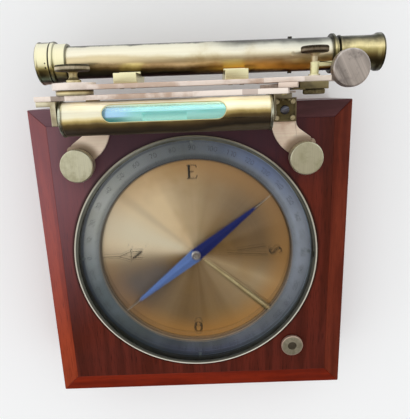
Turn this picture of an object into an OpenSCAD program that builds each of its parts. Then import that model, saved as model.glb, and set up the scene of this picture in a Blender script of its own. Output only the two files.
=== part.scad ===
// Surveying compass in a square wooden box, with a level and a small sighting telescope
// clamped along its back edge. Millimetres, Z up. The origin is on the underside,
// on the axis of the tripod socket. +X runs along the telescope to the eyepiece.

/* [Box] */
// Side of the square box
box_w = 190; // [186:1:220]
// Height of the box
box_h = 45; // [43:1:60]
// Thickness of the four mitred rails
rail_t = 10; // [7:0.5:12]
// Thickness of the top panel
panel_t = 12; // [10:0.5:14]
// Thickness of the bottom board
base_t = 8; // [6:0.5:12]

/* [Tripod socket] */
// Radius of the socket's bore
socket_r = 8; // [6:0.5:10]
// Depth of the socket's bore
socket_d = 20; // [14:1:26]
// Radius of the flange let into the bottom board
flange_r = 27; // [24:1:32]
// Thickness of that flange
flange_t = 3; // [2:0.5:4]
// Wall of the socket's hub
hub_wall = 6; // [4:0.5:8]
// Radius of the circle of flange screws
flange_pcd_r = 21; // [19:0.5:22]
// Number of flange screws
flange_screw_n = 4; // [3:1:6]

/* [Compass] */
// Distance between the bezel ring and the rails
bezel_margin = 7.8; // [6:0.1:9]
// Height of the bezel ring above the box
bezel_up = 1.8; // [1.6:0.1:3]
// Wall of the compass bowl
bowl_wall = 1; // [0.8:0.1:1.6]
// How far the bezel laps over the top panel
bezel_lap = 0.8; // [0.5:0.1:1.2]
// Width of the ledge under the cover glass
ledge_w = 1; // [0.6:0.1:1.6]
// Thickness of the cover glass
glass_t = 1.2; // [0.8:0.1:1.4]
// Radial width of the graduated ring
ring_w = 12.2; // [10:0.1:16]
// Top of the graduated ring below the top of the box
ring_drop = 4.4; // [4.2:0.1:5]
// Thickness of the graduated ring
ring_t = 3.2; // [2.8:0.1:4]
// Thickness of the dial plate
dial_t = 1.2; // [0.8:0.1:2]
// Thickness of the bowl's floor
bowl_floor = 2; // [1:0.2:2.4]
// Distance of the ring screws from the ring's outer edge
ring_screw_in = 1.6; // [1.4:0.1:3]
// Radius of a ring screw's head
ring_screw_r = 1.1; // [0.8:0.1:1.3]

/* [Needle] */
// Gap between the needle's tips and the ring's inner edge, seen from above
needle_short = 0; // [0:0.1:6]
// Greatest width of the needle
needle_w = 9; // [7:0.2:11]
// Thickness of the needle
needle_t = 0.8; // [0.5:0.1:1]
// Bearing of the needle in the rest pose
needle_deg = 38.4; // [0:0.1:359]
// Radius of the needle cap's flange
cap_r = 3.1; // [2.8:0.1:3.6]
// Top of the needle cap below the cover glass
cap_drop = 1.4; // [1.3:0.1:1.6]
// Radius of the pivot pin's post
post_r = 1.2; // [1:0.1:1.4]

/* [Needle lifter] */
// Distance of the button's middle from the bezel ring
button_out = 12.6; // [11:0.1:14]
// Bearing of the button
button_deg = -46.2; // [-49:0.1:-43]
// Bearing of the lever
lever_deg = -40.5; // [-43:0.1:-38]
// Radius of the button's head
button_r = 7.2; // [5:0.1:8]
// Thickness of the button's head
button_t = 2.2; // [1.5:0.1:4]
// Radius of the button's stem
stem_r = 2.2; // [1.5:0.1:2.4]
// Travel of the button
button_travel = 0.6; // [0.3:0.1:0.6]
// Gap under the released button's head
button_gap = 0.9; // [0.8:0.1:1.5]
// Thickness of the lever
lever_t = 0.8; // [0.6:0.1:0.9]
// Width of the lever where it passes under the ring
lever_w = 4.6; // [3:0.1:5]
// Radius of the fulcrum pin
fulcrum_r = 0.5; // [0.3:0.05:0.6]

/* [Ears] */
// Distance of each ear's screw inwards from the middle of the ear's bend
ear_screw_in = 4.4; // [0:0.1:5]
// Distance of the ear screws in front of the back edge
ear_inset = 32.5; // [31:0.5:36]
// Thickness of the ears
ear_t = 3; // [2:0.5:4]
// Width of an ear's arm
ear_w = 14.6; // [13.8:0.1:18]
// Distance from an ear's arm to the middle of its bend
ear_bend_r = 9.7; // [8:0.1:10.5]
// Radius of the inside corner of an ear's outer edge
ear_notch_r = 6; // [4:0.1:7]
// Slant of an ear's outer edge
ear_slant = 36; // [30:1:42]
// Radius of the ear screw's head
knob_r = 9.75; // [8:0.05:12]
// Height of the ear screw's head
knob_h = 5.4; // [4:0.1:12]
// Gap between an ear and the head above it
knob_gap = 1.6; // [1:0.1:3]
// Radius of the ear screw's shank
shank_r = 3; // [2:0.1:4]

/* [Limb] */
// Gap between the back edge of the box and the limb plate
limb_gap = 4.6; // [4:0.1:8]
// Thickness of the limb plate
limb_t = 2.6; // [2:0.1:4]
// Thickness of the graduated arc
arc_t = 2.4; // [1.6:0.1:3]
// Distance of the arc's inner edge to the left of the right foot
arc_in = 6.9; // [6:0.1:8]
// Radial width of the graduated arc
arc_w = 8.7; // [8:0.1:9.2]
// Half the angle of the arc
arc_half = 17.5; // [15:0.5:20]
// Distance of the pivot outside the left foot
pivot_out = 5.6; // [4:0.1:8]
// Height of the pivot above the box
pivot_up = 20.5; // [20:0.1:22]
// Height of the limb plate's bar
bar_h = 17; // [15:0.5:19]
// Length of the bar beyond the pivot
bar_over = 20.4; // [20:0.1:26]
// Side of the square foot brackets
foot_w = 13.4; // [12:0.1:14]
// Thickness of the foot brackets
foot_t = 3; // [2:0.1:3.4]
// Distance of the foot brackets from the sides of the box
foot_inset = 40.6; // [40:0.1:42]

/* [Level] */
// Outer radius of the level's tube
level_r = 9.2; // [8:0.1:9.2]
// Wall of the level's tube
level_wall = 1.2; // [0.8:0.1:1.6]
// Distance of the level's left end from the end of the bar
level_in = 11.3; // [9:0.1:14]
// Distance of the level's right end from the right foot
level_short = 9.4; // [9:0.1:14]
// Height of the level's axis above the box
level_up = 17; // [16.8:0.1:18]
// Gap between the level's tube and the limb plate
level_gap = 0.7; // [0.5:0.1:2]
// Length of the window in the tube
window_l = 66; // [40:1:76]
// Width of the window in the tube
window_w = 9.7; // [6:0.1:11]
// Middle of the window, left of the middle of the box
window_x = 13; // [8:0.5:18]
// Turn of the window towards the back, in degrees
window_turn = 19; // [0:1:25]

/* [Telescope arm] */
// Thickness of the arm
arm_t = 2.4; // [2:0.1:3]
// Height of the arm's bar
arm_h = 15; // [12:0.5:18]
// Radius of the arm's hub
hub_r = 11.35; // [10:0.05:13]
// Radius of the pivot screw's head
pivot_head_r = 9; // [7:0.1:9.2]
// Thickness of the pivot screw's head
pivot_head_t = 3.2; // [3:0.1:5]
// Radius of the pivot screw's shank
pivot_shank_r = 2.25; // [1.6:0.05:3]
// Half the angle of the vernier window
vernier_half = 6.5; // [5:0.1:7]

/* [Telescope] */
// Outer radius of the main tube
tube_r = 8.8; // [8.2:0.1:8.9]
// Wall of the main tube
tube_wall = 1.1; // [0.8:0.1:1.4]
// Axis of the telescope behind the back edge of the box
scope_y = 25; // [24.8:0.1:27]
// Height of the telescope's axis above the box
scope_up = 2; // [0:0.1:2.2]
// Length of the main tube beyond the pivot
tube_over = 8.4; // [8:0.1:14]
// Distance of the main tube's right end from the tangent screw
tube_short = 5; // [3:0.1:6]
// Radius of the objective's beaded rim
bead_r = 11.6; // [11.4:0.1:13]
// Radius of the objective's sleeve
sleeve_r = 10.3; // [9.8:0.1:10.8]
// Length of the objective's cap
cap_l = 7.6; // [7:0.1:12]
// Radius of the eyepiece body
eye_r = 9.1; // [8.6:0.1:9.6]
// Length of the eyepiece body
eye_l = 24.1; // [20:0.1:30]
// Radius of the eyepiece's flared rim
flare_r = 10.2; // [9.8:0.1:11.4]
// Outward travel of the draw tube
draw_travel = 12; // [4:1:14]
// Length of each foot along the telescope
saddle_l = 12; // [8:0.1:16]
// Middle of the left foot, from the middle
saddle_left = -31.9; // [-42:0.1:-30]
// Middle of the right foot, from the middle
saddle_right = 25.7; // [15:0.1:30]

/* [Clamp and tangent screw] */
// Distance of the clamp screw outside the arc
clamp_out = 10.8; // [10.3:0.1:12]
// Radius of the clamp screw's head
clamp_head_r = 7.2; // [5:0.1:7.4]
// Thickness of the clamp screw's head
clamp_head_t = 3.2; // [2:0.1:4]
// Radius of the clamp screw's shank
clamp_shank_r = 1.6; // [1.2:0.1:2]
// Height of the clamp's jaws
jaw_h = 14; // [12:0.5:14]
// Distance between the clamp screw and the tangent screw
tangent_out = 17.4; // [16.5:0.1:19]
// Axis of the tangent screw behind the back edge of the box
tangent_y = 16; // [15.5:0.1:16.4]
// Radius of the tangent screw's head
tangent_head_r = 9.65; // [7:0.05:11]
// Thickness of the tangent screw's head
tangent_head_t = 6; // [4:0.1:8]
// Radius of the tangent screw's shank
tangent_r = 2; // [1.5:0.1:2.2]
// Travel of the nut each way along the tangent screw
tangent_travel = 1.4; // [0.8:0.1:1.5]

/* [Fits] */
// Radial clearance of a running fit
fit = 0.05; // [0.02:0.01:0.08]
// Gap between pieces that pass each other
pass_gap = 0.4; // [0.3:0.05:0.5]

/* [Hidden] */
$fn = 96;
eps = 0.01;
// Box
panel_w = box_w - 2 * rail_t;
panel_z = box_h - panel_t;
board_screw_r = 1.2;
board_screw_head_r = 2.4;
board_screw_head_t = 1.4;
board_screw_grip = 9;
board_screw_in = 12;
hub_r_out = socket_r + hub_wall;
flange_screw_r = 2.2;
small_shank_r = 0.9;
// Compass, heights from the underside
bezel_r = panel_w / 2 - bezel_margin;
bowl_r = bezel_r - bezel_lap;
bowl_in_r = bowl_r - bowl_wall;
ring_out_r = bowl_in_r - ledge_w;
ring_in_r = ring_out_r - ring_w;
ring_screw_pcd = ring_out_r - ring_screw_in;
ring_z1 = box_h - ring_drop;
ring_z0 = ring_z1 - ring_t;
dial_z0 = ring_z0 - dial_t;
bowl_z0 = dial_z0 - bowl_floor;
retainer_w = 0.9;
retainer_gap = 4;
// Needle and its lifting gear
needle_half = ring_in_r - needle_short;
button_pcd = bezel_r + button_out;
needle_over_ring = 0.5;
needle_z = ring_z1 + needle_over_ring;
cap_neck_r = 2.4;
cap_z0 = needle_z - 0.7;
cap_z1 = box_h - cap_drop;
cap_bore_r = 1.6;
cap_roof_t = 1;
pin_r = 0.6;
tip_l = 1.1;
tip_gap = 0.1;
collar_t = 0.5;
collar_r = 3.4;
collar_z0 = cap_z0 - 0.1 - collar_t;
lift_ratio = 2;
lift = button_travel * lift_ratio;
lever_z0 = ring_z0 + 0.7;
lever_z1 = lever_z0 + lever_t;
fulcrum_d = (ring_in_r + ring_out_r) / 2;
fulcrum_z = (lever_z0 + lever_z1) / 2;
knuckle_r = fulcrum_r + 0.4;
notch_h = ring_t - 0.8;
slot_w = lever_w + 1.2;
eye_ring_r = 3.2;
eye_bore_r = 1.7;
turn = button_deg - lever_deg;
button_lx = button_pcd * cos(turn);
button_ly = button_pcd * sin(turn);
pad_r = 3.2;
stem_gap = 0.1;
pocket_w = 11;
pocket_end = button_lx + 7;
bush_r = 4.2;
spring_w = 4;
spring_t = 0.4;
spring_drop = 0.35;
// Ears and their screws
back = box_w / 2;
foot_x = back - foot_inset;
ear_bend_x = foot_x + ear_w / 2 + ear_bend_r;
ear_bend_y = back - ear_bend_r;
ear_x = ear_bend_x - ear_screw_in;
ear_y = back - ear_inset;
ear_boss_r = 9;
ear_notch_y = ear_bend_y - 1.6;
ear_tip_x = ear_x + 6.6;
ear_tip_r = 3;
ear_end_over = 1.6;
neck_r = 4;
bush_wall = 2;
knob_z0 = box_h + ear_t + knob_gap;
shank_l = panel_t - 3;
// Foot brackets
foot_z0 = box_h + ear_t;
foot_z1 = foot_z0 + foot_t;
foot_y1 = back + 2;
foot_y0 = foot_y1 - foot_w;
upright_w = 6.8;
upright_t = 3.4;
upright_top = 3.2;
screw_in = 2.2;
head_r = 1.7;
head_h = 0.7;
limb_head_r = 1.1;
limb_shank_r = 0.7;
limb_screw_dx = 1.9;
limb_screw_z = foot_z1 + head_h + limb_head_r + 0.1;
arc_screw_in = 3;
center_r = 2.6;
// Limb
pivot_x = foot_x + pivot_out;
arc_in_r = pivot_x + foot_x - arc_in;
bar_left = pivot_x + bar_over;
level_left = bar_left - level_in;
level_right = foot_x - level_short;
limb_y0 = back + limb_gap;
limb_y1 = limb_y0 + limb_t;
arc_y1 = limb_y1 + arc_t;
arm_y0 = arc_y1 + pass_gap;
arm_y1 = arm_y0 + arm_t;
pivot_z = box_h + pivot_up;
bar_z0 = pivot_z + 5.5 - bar_h;
limb_end_r = arc_in_r + 4.5;
arc_out_r = arc_in_r + arc_w;
clamp_x = arc_out_r + clamp_out - pivot_x;
tangent_x = clamp_x + tangent_out;
bar_right = level_right;
boss_r = 9;
limb_frame_l = 41.5;
limb_frame_end = 8;
spoke_in_r = arc_in_r - limb_frame_l;
spoke_out_r = arc_in_r - 7;
spoke_deg = 3.4;
arc_screw_r = arc_in_r + 2.4;
arc_screw_l = limb_t + 1.6;
tab_w = 10;
// Level
level_y = limb_y0 - level_gap - level_r;
level_z = box_h + level_up;
end_disc_t = 1.4;
end_disc_r = level_r + 0.5;
plug_l = 8;
vial_r = 6.2;
vial_wall = 0.9;
vial_seat = 2;
stud_r = 2;
plate_l = 3;
plate_gap = 1;
thin_l = 1.2;
thin_gap = 0.3;
thin_reach = 8;
stud_over = 1;
level_plate_h = 15;
level_plate_w = 13;
level_foot_t = 2.8;
bubble_l = 24;
// Arm
hub_y1 = arm_y1 + 1.2;
washer_r = 3.9;
washer_t = 1.4;
stem_l = 4.4;
pivot_hole_r = pivot_shank_r + fit;
arm_end_r = arc_out_r + 3.1;
frame_in_r = arc_in_r - 8;
frame_half = 8.5;
window_in_r = arc_in_r - 1.2;
window_out_r = arc_out_r - 0.4;
vernier_w = 3.4;
vernier_t = 1.2;
lug_w = 9.5;
lug_t = 3;
lug_bar_z0 = box_h + 3.6;
arm_screw_r = 0.6;
arm_screw_l = arm_t + 2;
// Telescope
tube_left = pivot_x + tube_over;
tube_right = tangent_x - tube_short;
axis_y = back + scope_y;
axis_z = box_h + scope_up;
tube_in_r = tube_r - tube_wall;
draw_r = tube_in_r - fit;
draw_wall = 0.9;
bead_l = 2.4;
sleeve_l = 9;
nose_r = sleeve_r + 0.2;
nose_l = 5.2;
cell_x1 = sleeve_l - tube_left - 6.5;
cell_x0 = cell_x1 - sleeve_l;
lens_r = 9.2;
lens_t = 2.6;
rim_l = 2.4;
rim_r = tube_r + 1.8;
collar_l = 1;
focus_gap = 1;
eye_x0 = tube_right + rim_l + collar_l + focus_gap;
eye_x1 = eye_x0 + eye_l;
draw_in = draw_travel + 6.4;
reticle_back = 22;
reticle_x = tube_right - reticle_back;
reticle_l = 3;
wire_w = 0.16;
eye_lens_r = 5;
eye_lens_x1 = eye_x1 - 3;
field_lens_r = draw_r - draw_wall;
saddle_up = 7;
saddle_t = 5.2;
saddle_deep = 6.4;
// Clamp
jaw_l = 15;
jaw_x0 = clamp_x - 0.6 * jaw_l;
lip_in = 3.4;
lip_t = 1;
lip_gap = 0.12;
lip_y0 = limb_y1 - lip_gap - lip_t;
clamp_plate_x0 = arm_end_r + pass_gap - pivot_x;
clamp_plate_x1 = clamp_x + 11.5;
clamp_step_x = tangent_x - tangent_head_r - pass_gap;
clamp_plate_t = arm_t + 0.4;
nut_r = 5.75;
nut_t = 2.7;
beam_t = 2.4;
beam_y1 = back + tangent_y + 4;
beam_z0 = pivot_z - 1.9;
beam_h = 2.8;
eye_r_out = 4.4;
head_gap = 0.6;
tangent_z0 = beam_z0 + beam_h + head_gap;
nut_top = beam_z0 - pass_gap - tangent_travel;
tangent_end = nut_top - lug_t - tangent_travel;
tangent_clear = 0.16;
pillar_r = 2.2;
pillar_foot_r = 3;
pillar_foot_l = 1;
clamp_hub_l = 1.2;
clamp_hub_r = 3.4;
clamp_head_y = beam_y1 + 4.5;

// Helpers

// Cylinder along +Y that starts at y
module rod_y(x, y, z, r, l) {
    translate([x, y, z])
        rotate([-90, 0, 0])
            cylinder(r = r, h = l);
}

// Cylinder along +X that starts at x
module rod_x(x, y, z, r, l) {
    translate([x, y, z])
        rotate([0, 90, 0])
            cylinder(r = r, h = l);
}

// Box from its lower corner
module block(x, y, z, sx, sy, sz) {
    translate([x, y, z])
        cube([sx, sy, sz]);
}

// Flat plate in the XZ plane, drawn about the pivot, from y0 to y1
module pivot_plate(y0, y1) {
    translate([-pivot_x, y1, pivot_z])
        rotate([90, 0, 0])
            linear_extrude(y1 - y0)
                children();
}

// Flat plate in the XZ plane, drawn in the box's own X and Z
module xz_plate(y0, y1) {
    translate([0, y1, 0])
        rotate([90, 0, 0])
            linear_extrude(y1 - y0)
                children();
}

// Part of a flat ring between two angles
module ring_sector(r0, r1, a0, a1) {
    rotate([0, 0, a0])
        rotate_extrude(angle = a1 - a0, $fn = 360)
            translate([r0, 0])
                square([r1 - r0, 1]);
}

// A ring sector about the pivot, from y0 to y1
module pivot_sector(r0, r1, a0, a1, y0, y1) {
    translate([-pivot_x, y1, pivot_z])
        rotate([90, 0, 0])
            scale([1, 1, y1 - y0])
                ring_sector(r0, r1, a0, a1);
}

// Moves children into the lever's frame, with X along the lever
module lever_frame() {
    rotate([0, 0, lever_deg])
        children();
}

// Left and right copies
module both_sides() {
    children();
    mirror([1, 0, 0])
        children();
}

// Screw with a slotted cheese head, its head's underside at z 0
module slot_screw(r, h, shank, l, slot = 0.5) {
    difference() {
        cylinder(r = r, h = h);
        translate([-r - 1, -slot / 2, h * 0.45])
            cube([2 * r + 2, slot, h]);
    }
    translate([0, 0, -l])
        cylinder(r = shank, h = l + eps);
}

// Box

module base_board() {
    color("saddlebrown")
        difference() {
            block(-back, -back, 0, box_w, box_w, base_t);
            translate([0, 0, -1])
                cylinder(r = flange_r, h = flange_t + 1);
            translate([0, 0, -1])
                cylinder(r = hub_r_out, h = base_t + 2);
            for (i = [0:flange_screw_n - 1])
                rotate([0, 0, 360 / flange_screw_n * (i + 0.5)])
                    translate([flange_pcd_r, 0, -1])
                        cylinder(r = small_shank_r, h = base_t + 2);
            board_screw_places()
                board_screw();
        }
}

// Front rail, with mitred ends
module rail_shape() {
    translate([0, 0, base_t])
        linear_extrude(box_h - base_t)
            polygon([[-back, -back], [back, -back], [back - rail_t, rail_t - back],
                [rail_t - back, rail_t - back]]);
}

// Places of the screws that hold the bottom board to the rails
module board_screw_places() {
    for (side = [0:3])
        rotate([0, 0, 90 * side])
            for (x = [-1, 1])
                translate([x * (back - rail_t - board_screw_in), rail_t / 2 - back, 0])
                    children();
}

// Flat-headed wood screw, its head flush with the underside
module board_screw() {
    cylinder(r = board_screw_head_r, h = board_screw_head_t);
    cylinder(r = board_screw_r, h = base_t + board_screw_grip);
}

module rail(turn_deg) {
    color("sienna")
        difference() {
            rotate([0, 0, turn_deg])
                rail_shape();
            board_screw_places()
                board_screw();
        }
}

module rail_front() {
    rail(0);
}

module rail_right() {
    rail(90);
}

module rail_back() {
    rail(180);
}

module rail_left() {
    rail(270);
}

module top_panel() {
    color("brown")
        difference() {
            block(-panel_w / 2, -panel_w / 2, panel_z, panel_w, panel_w, panel_t);
            translate([0, 0, panel_z - 1])
                cylinder(r = bowl_r, h = panel_t + 2, $fn = 180);
            both_sides()
                translate([ear_x, ear_y, panel_z - 1])
                    cylinder(r = shank_r + fit + bush_wall, h = panel_t + 2);
            lever_frame()
                translate([button_lx, button_ly, panel_z])
                    cylinder(r = bush_r, h = panel_t + 1);
            lever_frame()
                translate([bowl_in_r - 2, button_ly - pocket_w / 2, panel_z - 1])
                    cube([pocket_end - bowl_in_r + 2, pocket_w + 5, ring_z0 + notch_h - panel_z + 1]);
        }
}

module board_screws() {
    color("darkgoldenrod")
        board_screw_places()
            difference() {
                board_screw();
                translate([-board_screw_head_r - 1, -0.3, -1])
                    cube([2 * board_screw_head_r + 2, 0.6, 1.5]);
            }
}

module tripod_flange() {
    color("goldenrod")
        difference() {
            union() {
                cylinder(r = flange_r, h = flange_t);
                cylinder(r = hub_r_out, h = socket_d + 2);
            }
            translate([0, 0, -1])
                cylinder(r = socket_r, h = socket_d + 1);
            for (i = [0:flange_screw_n - 1])
                rotate([0, 0, 360 / flange_screw_n * (i + 0.5)])
                    translate([flange_pcd_r, 0, -1])
                        cylinder(r = small_shank_r, h = flange_t + 2);
            for (i = [0:flange_screw_n - 1])
                rotate([0, 0, 360 / flange_screw_n * (i + 0.5)])
                    translate([flange_pcd_r, 0, -1])
                        cylinder(r = flange_screw_r, h = 2.2);
        }
}

module flange_screws() {
    color("darkgoldenrod")
        for (i = [0:flange_screw_n - 1])
            rotate([0, 0, 360 / flange_screw_n * (i + 0.5)])
                translate([flange_pcd_r, 0, 1.2])
                    mirror([0, 0, 1])
                        slot_screw(flange_screw_r, 1.1, small_shank_r, base_t - 2);
}

// Compass

module compass_bowl() {
    color("peru")
        difference() {
            translate([0, 0, bowl_z0])
                cylinder(r = bowl_r, h = box_h - bowl_z0, $fn = 180);
            translate([0, 0, dial_z0])
                cylinder(r = ring_out_r, h = box_h, $fn = 180);
            lever_frame()
                translate([ring_out_r - 3, -slot_w, ring_z0])
                    cube([ledge_w + bowl_wall + 6, 2 * lever_w + 1, notch_h]);
        }
}

module dial_plate() {
    color("burlywood")
        difference() {
            translate([0, 0, dial_z0])
                cylinder(r = ring_out_r, h = dial_t, $fn = 180);
            translate([0, 0, dial_z0 - 1])
                cylinder(r = post_r, h = dial_t + 2);
        }
}

module ring_screw_places() {
    for (i = [0:3])
        rotate([0, 0, 90 * i])
            translate([ring_screw_pcd, 0, ring_z1])
                children();
}

module graduated_ring() {
    color("lightslategray")
        difference() {
            translate([0, 0, ring_z0])
                cylinder(r = ring_out_r, h = ring_t, $fn = 180);
            translate([0, 0, ring_z0 - 1])
                cylinder(r = ring_in_r, h = ring_t + 2, $fn = 180);
            lever_frame()
                translate([ring_in_r - 3, -lever_w / 2 - 0.5, ring_z0 - 1])
                    cube([ring_out_r - ring_in_r + 6, lever_w + 1, notch_h + 1]);
            lever_frame()
                translate([fulcrum_d + fulcrum_r + 0.4, -slot_w, ring_z0 - 1])
                    cube([ring_out_r - fulcrum_d, slot_w, notch_h + 1]);
            lever_frame()
                rod_y(fulcrum_d, -lever_w / 2 - 2, fulcrum_z, fulcrum_r, lever_w + 4);
            ring_screw_places()
                translate([0, 0, -ring_t - 1])
                    cylinder(r = small_shank_r, h = ring_t + 2);
        }
}

module ring_screws() {
    color("dimgray")
        ring_screw_places()
            slot_screw(ring_screw_r, 0.4, small_shank_r, ring_t, 0.3);
}

module bezel_ring() {
    color("khaki")
        difference() {
            translate([0, 0, box_h])
                cylinder(r = bezel_r, h = bezel_up, $fn = 180);
            translate([0, 0, box_h - 1])
                cylinder(r = bowl_in_r, h = bezel_up + 2, $fn = 180);
        }
}

// Split spring ring above the glass
module glass_retainer() {
    color("darkkhaki")
        difference() {
            translate([0, 0, box_h + glass_t])
                cylinder(r = bowl_in_r, h = bezel_up - glass_t, $fn = 180);
            translate([0, 0, box_h])
                cylinder(r = bowl_in_r - retainer_w, h = bezel_up + 2, $fn = 180);
            translate([0, -retainer_gap / 2, box_h])
                cube([bezel_r, retainer_gap, bezel_up + 1]);
        }
}

module cover_glass() {
    color("lightblue", 0.3)
        translate([0, 0, box_h])
            cylinder(r = bowl_in_r, h = glass_t, $fn = 180);
}

module pivot_pin() {
    post_h = collar_z0 + collar_t + lift + 0.1 - dial_z0;
    tip_z = cap_z1 - cap_roof_t - tip_gap;
    color("silver")
        union() {
            translate([0, 0, dial_z0])
                cylinder(r = post_r, h = post_h);
            translate([0, 0, dial_z0])
                cylinder(r = pin_r, h = tip_z - tip_l - dial_z0);
            translate([0, 0, tip_z - tip_l - eps])
                cylinder(r1 = pin_r, r2 = 0.05, h = tip_l + eps);
        }
}

module lift_collar() {
    color("gold")
        translate([0, 0, collar_z0])
            difference() {
                cylinder(r = collar_r, h = collar_t);
                translate([0, 0, -1])
                    cylinder(r = post_r + fit, h = collar_t + 2);
            }
}

// Long pointed lozenge with a hole for the cap
module needle_blade() {
    color("steelblue")
        rotate([0, 0, needle_deg])
            translate([0, 0, needle_z])
                difference() {
                    linear_extrude(needle_t)
                        polygon([[needle_half, 0], [0, needle_w / 2], [-needle_half, 0], [0,
                            -needle_w / 2]]);
                    translate([0, 0, -1])
                        cylinder(r = cap_neck_r, h = needle_t + 2);
                }
}

module needle_cap() {
    flange_z = needle_z + needle_t;
    color("lightgray")
        difference() {
            union() {
                translate([0, 0, cap_z0])
                    cylinder(r = cap_neck_r, h = flange_z - cap_z0 + eps);
                translate([0, 0, flange_z])
                    cylinder(r = cap_r, h = (cap_z1 - flange_z) * 0.6);
                translate([0, 0, flange_z])
                    cylinder(r = cap_bore_r + 0.3, h = cap_z1 - flange_z);
            }
            translate([0, 0, cap_z0 - 1])
                cylinder(r = cap_bore_r, h = cap_z1 - cap_roof_t - cap_z0 + 1);
        }
}

// Outline of the lever seen from above, in the lever's frame
module lever_outline() {
    half = lever_w / 2;
    difference() {
        union() {
            circle(r = eye_ring_r);
            polygon([[eye_ring_r - 1, -0.8], [ring_in_r, -half], [fulcrum_d + 2, -half],
                [fulcrum_d + 2, half],
                [ring_in_r, half], [eye_ring_r - 1, 0.8]]);
            polygon([[fulcrum_d, -half], [button_lx, button_ly - half], [button_lx, button_ly + half],
                [fulcrum_d, half]]);
            translate([button_lx, button_ly])
                circle(r = pad_r);
        }
        circle(r = eye_bore_r);
    }
}

module lift_lever() {
    color("goldenrod")
        lever_frame()
            difference() {
                union() {
                    translate([0, 0, lever_z0])
                        linear_extrude(lever_t)
                            lever_outline();
                    rod_y(fulcrum_d, -lever_w / 2, fulcrum_z, knuckle_r, lever_w);
                }
                rod_y(fulcrum_d, -lever_w, fulcrum_z, fulcrum_r + fit, 2 * lever_w);
            }
}

module fulcrum_pin() {
    color("silver")
        lever_frame()
            rod_y(fulcrum_d, -lever_w / 2 - 2, fulcrum_z, fulcrum_r, lever_w + 4);
}

module lift_button() {
    recess_r = 2.9;
    stem_z0 = lever_z1 + stem_gap;
    color("darkkhaki")
        lever_frame()
            translate([button_lx, button_ly, 0])
                difference() {
                    union() {
                        translate([0, 0, box_h + button_gap])
                            cylinder(r = button_r, h = button_t);
                        translate([0, 0, stem_z0])
                            cylinder(r = stem_r, h = box_h + button_gap - stem_z0 + eps);
                    }
                    translate([0, 0, box_h + button_gap + button_t - 0.8])
                        cylinder(r = recess_r, h = 2);
                }
}

module button_bush() {
    bush_z0 = ring_z0 + notch_h;
    color("goldenrod")
        lever_frame()
            translate([button_lx, button_ly, bush_z0])
                difference() {
                    cylinder(r = bush_r, h = box_h - bush_z0);
                    translate([0, 0, -1])
                        cylinder(r = stem_r + fit, h = box_h - bush_z0 + 2);
                }
}

// Leaf spring under the lever's outer end, fixed below the panel
module lift_spring() {
    tip_x = button_lx - 3;
    top_z = lever_z0 - button_travel - spring_drop;
    low_z = panel_z;
    color("steelblue")
        lever_frame()
            translate([0, button_ly + spring_w / 2, 0])
                rotate([90, 0, 0])
                    linear_extrude(spring_w)
                        polygon([[tip_x, top_z], [tip_x + 4, top_z], [pocket_end - 1, low_z],
                            [pocket_end + 7, low_z], [pocket_end + 7, low_z - spring_t],
                            [pocket_end - 1.2, low_z - spring_t], [tip_x + 3.8, top_z - spring_t],
                            [tip_x, top_z - spring_t]]);
}

// Ears

// Everything outside an ear's outer edge: a small corner circle and a straight slant
module ear_notch() {
    notch_x = foot_x + ear_w / 2 + ear_notch_r;
    slant_x = notch_x - ear_notch_r * sin(ear_slant);
    slant_y = ear_notch_y - ear_notch_r * cos(ear_slant);
    translate([notch_x, ear_notch_y])
        circle(r = ear_notch_r);
    polygon([[notch_x - ear_notch_r, back], [notch_x - ear_notch_r, ear_notch_y], [notch_x, ear_notch_y],
        [slant_x, slant_y], [back, slant_y - tan(ear_slant) * (back - slant_x)], [back, back]]);
}

module ear_shape() {
    slant_low = ear_notch_y - ear_notch_r / cos(ear_slant)
        - tan(ear_slant) * (ear_tip_x - ear_tip_r - foot_x - ear_w / 2 - ear_notch_r);
    tip_y = slant_low - ear_tip_r / cos(ear_slant);
    difference() {
        union() {
            translate([foot_x - ear_w / 2, ear_bend_y])
                square([ear_w, foot_y1 - ear_end_over - ear_bend_y]);
            difference() {
                intersection() {
                    translate([ear_bend_x, ear_bend_y])
                        circle(r = ear_bend_r + ear_w, $fn = 180);
                    translate([foot_x - ear_w / 2, ear_y - ear_w])
                        square([ear_tip_x - ear_tip_r - foot_x + ear_w / 2, ear_bend_y - ear_y + ear_w]);
                }
                ear_notch();
            }
            translate([ear_tip_x - ear_tip_r, tip_y])
                circle(r = ear_tip_r);
            translate([ear_tip_x - ear_tip_r - eps, ear_y])
                square([ear_tip_r + eps, tip_y - ear_y]);
            translate([ear_x, ear_y])
                circle(r = ear_boss_r);
        }
        translate([ear_x, ear_y])
            circle(r = shank_r + fit);
    }
}

module ear_right() {
    color("rosybrown")
        difference() {
            translate([0, 0, box_h])
                linear_extrude(ear_t)
                    ear_shape();
            bracket_screw_places()
                translate([0, 0, -foot_t - ear_t - 1])
                    cylinder(r = small_shank_r, h = ear_t + foot_t + 1);
        }
}

module ear_left() {
    mirror([1, 0, 0])
        ear_right();
}

module ear_bushes() {
    color("goldenrod")
        both_sides()
            translate([ear_x, ear_y, panel_z])
                difference() {
                    cylinder(r = shank_r + fit + bush_wall, h = panel_t);
                    translate([0, 0, -1])
                        cylinder(r = shank_r + fit, h = panel_t + 2);
                }
}

module ear_screw() {
    color("darkkhaki")
        translate([ear_x, ear_y, 0])
            union() {
                translate([0, 0, knob_z0])
                    cylinder(r = knob_r, h = knob_h);
                translate([0, 0, box_h + ear_t])
                    cylinder(r = neck_r, h = knob_gap + eps);
                translate([0, 0, box_h - shank_l])
                    cylinder(r = shank_r, h = shank_l + ear_t + eps);
            }
}

module ear_screw_right() {
    ear_screw();
}

module ear_screw_left() {
    mirror([1, 0, 0])
        ear_screw();
}

// Foot brackets

module bracket_screw_places() {
    for (x = [foot_x - foot_w / 2 + screw_in, foot_x + foot_w / 2 - screw_in])
        for (y = [foot_y0 + screw_in, foot_y1 - screw_in])
            translate([x, y, foot_z1])
                children();
}

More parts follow.
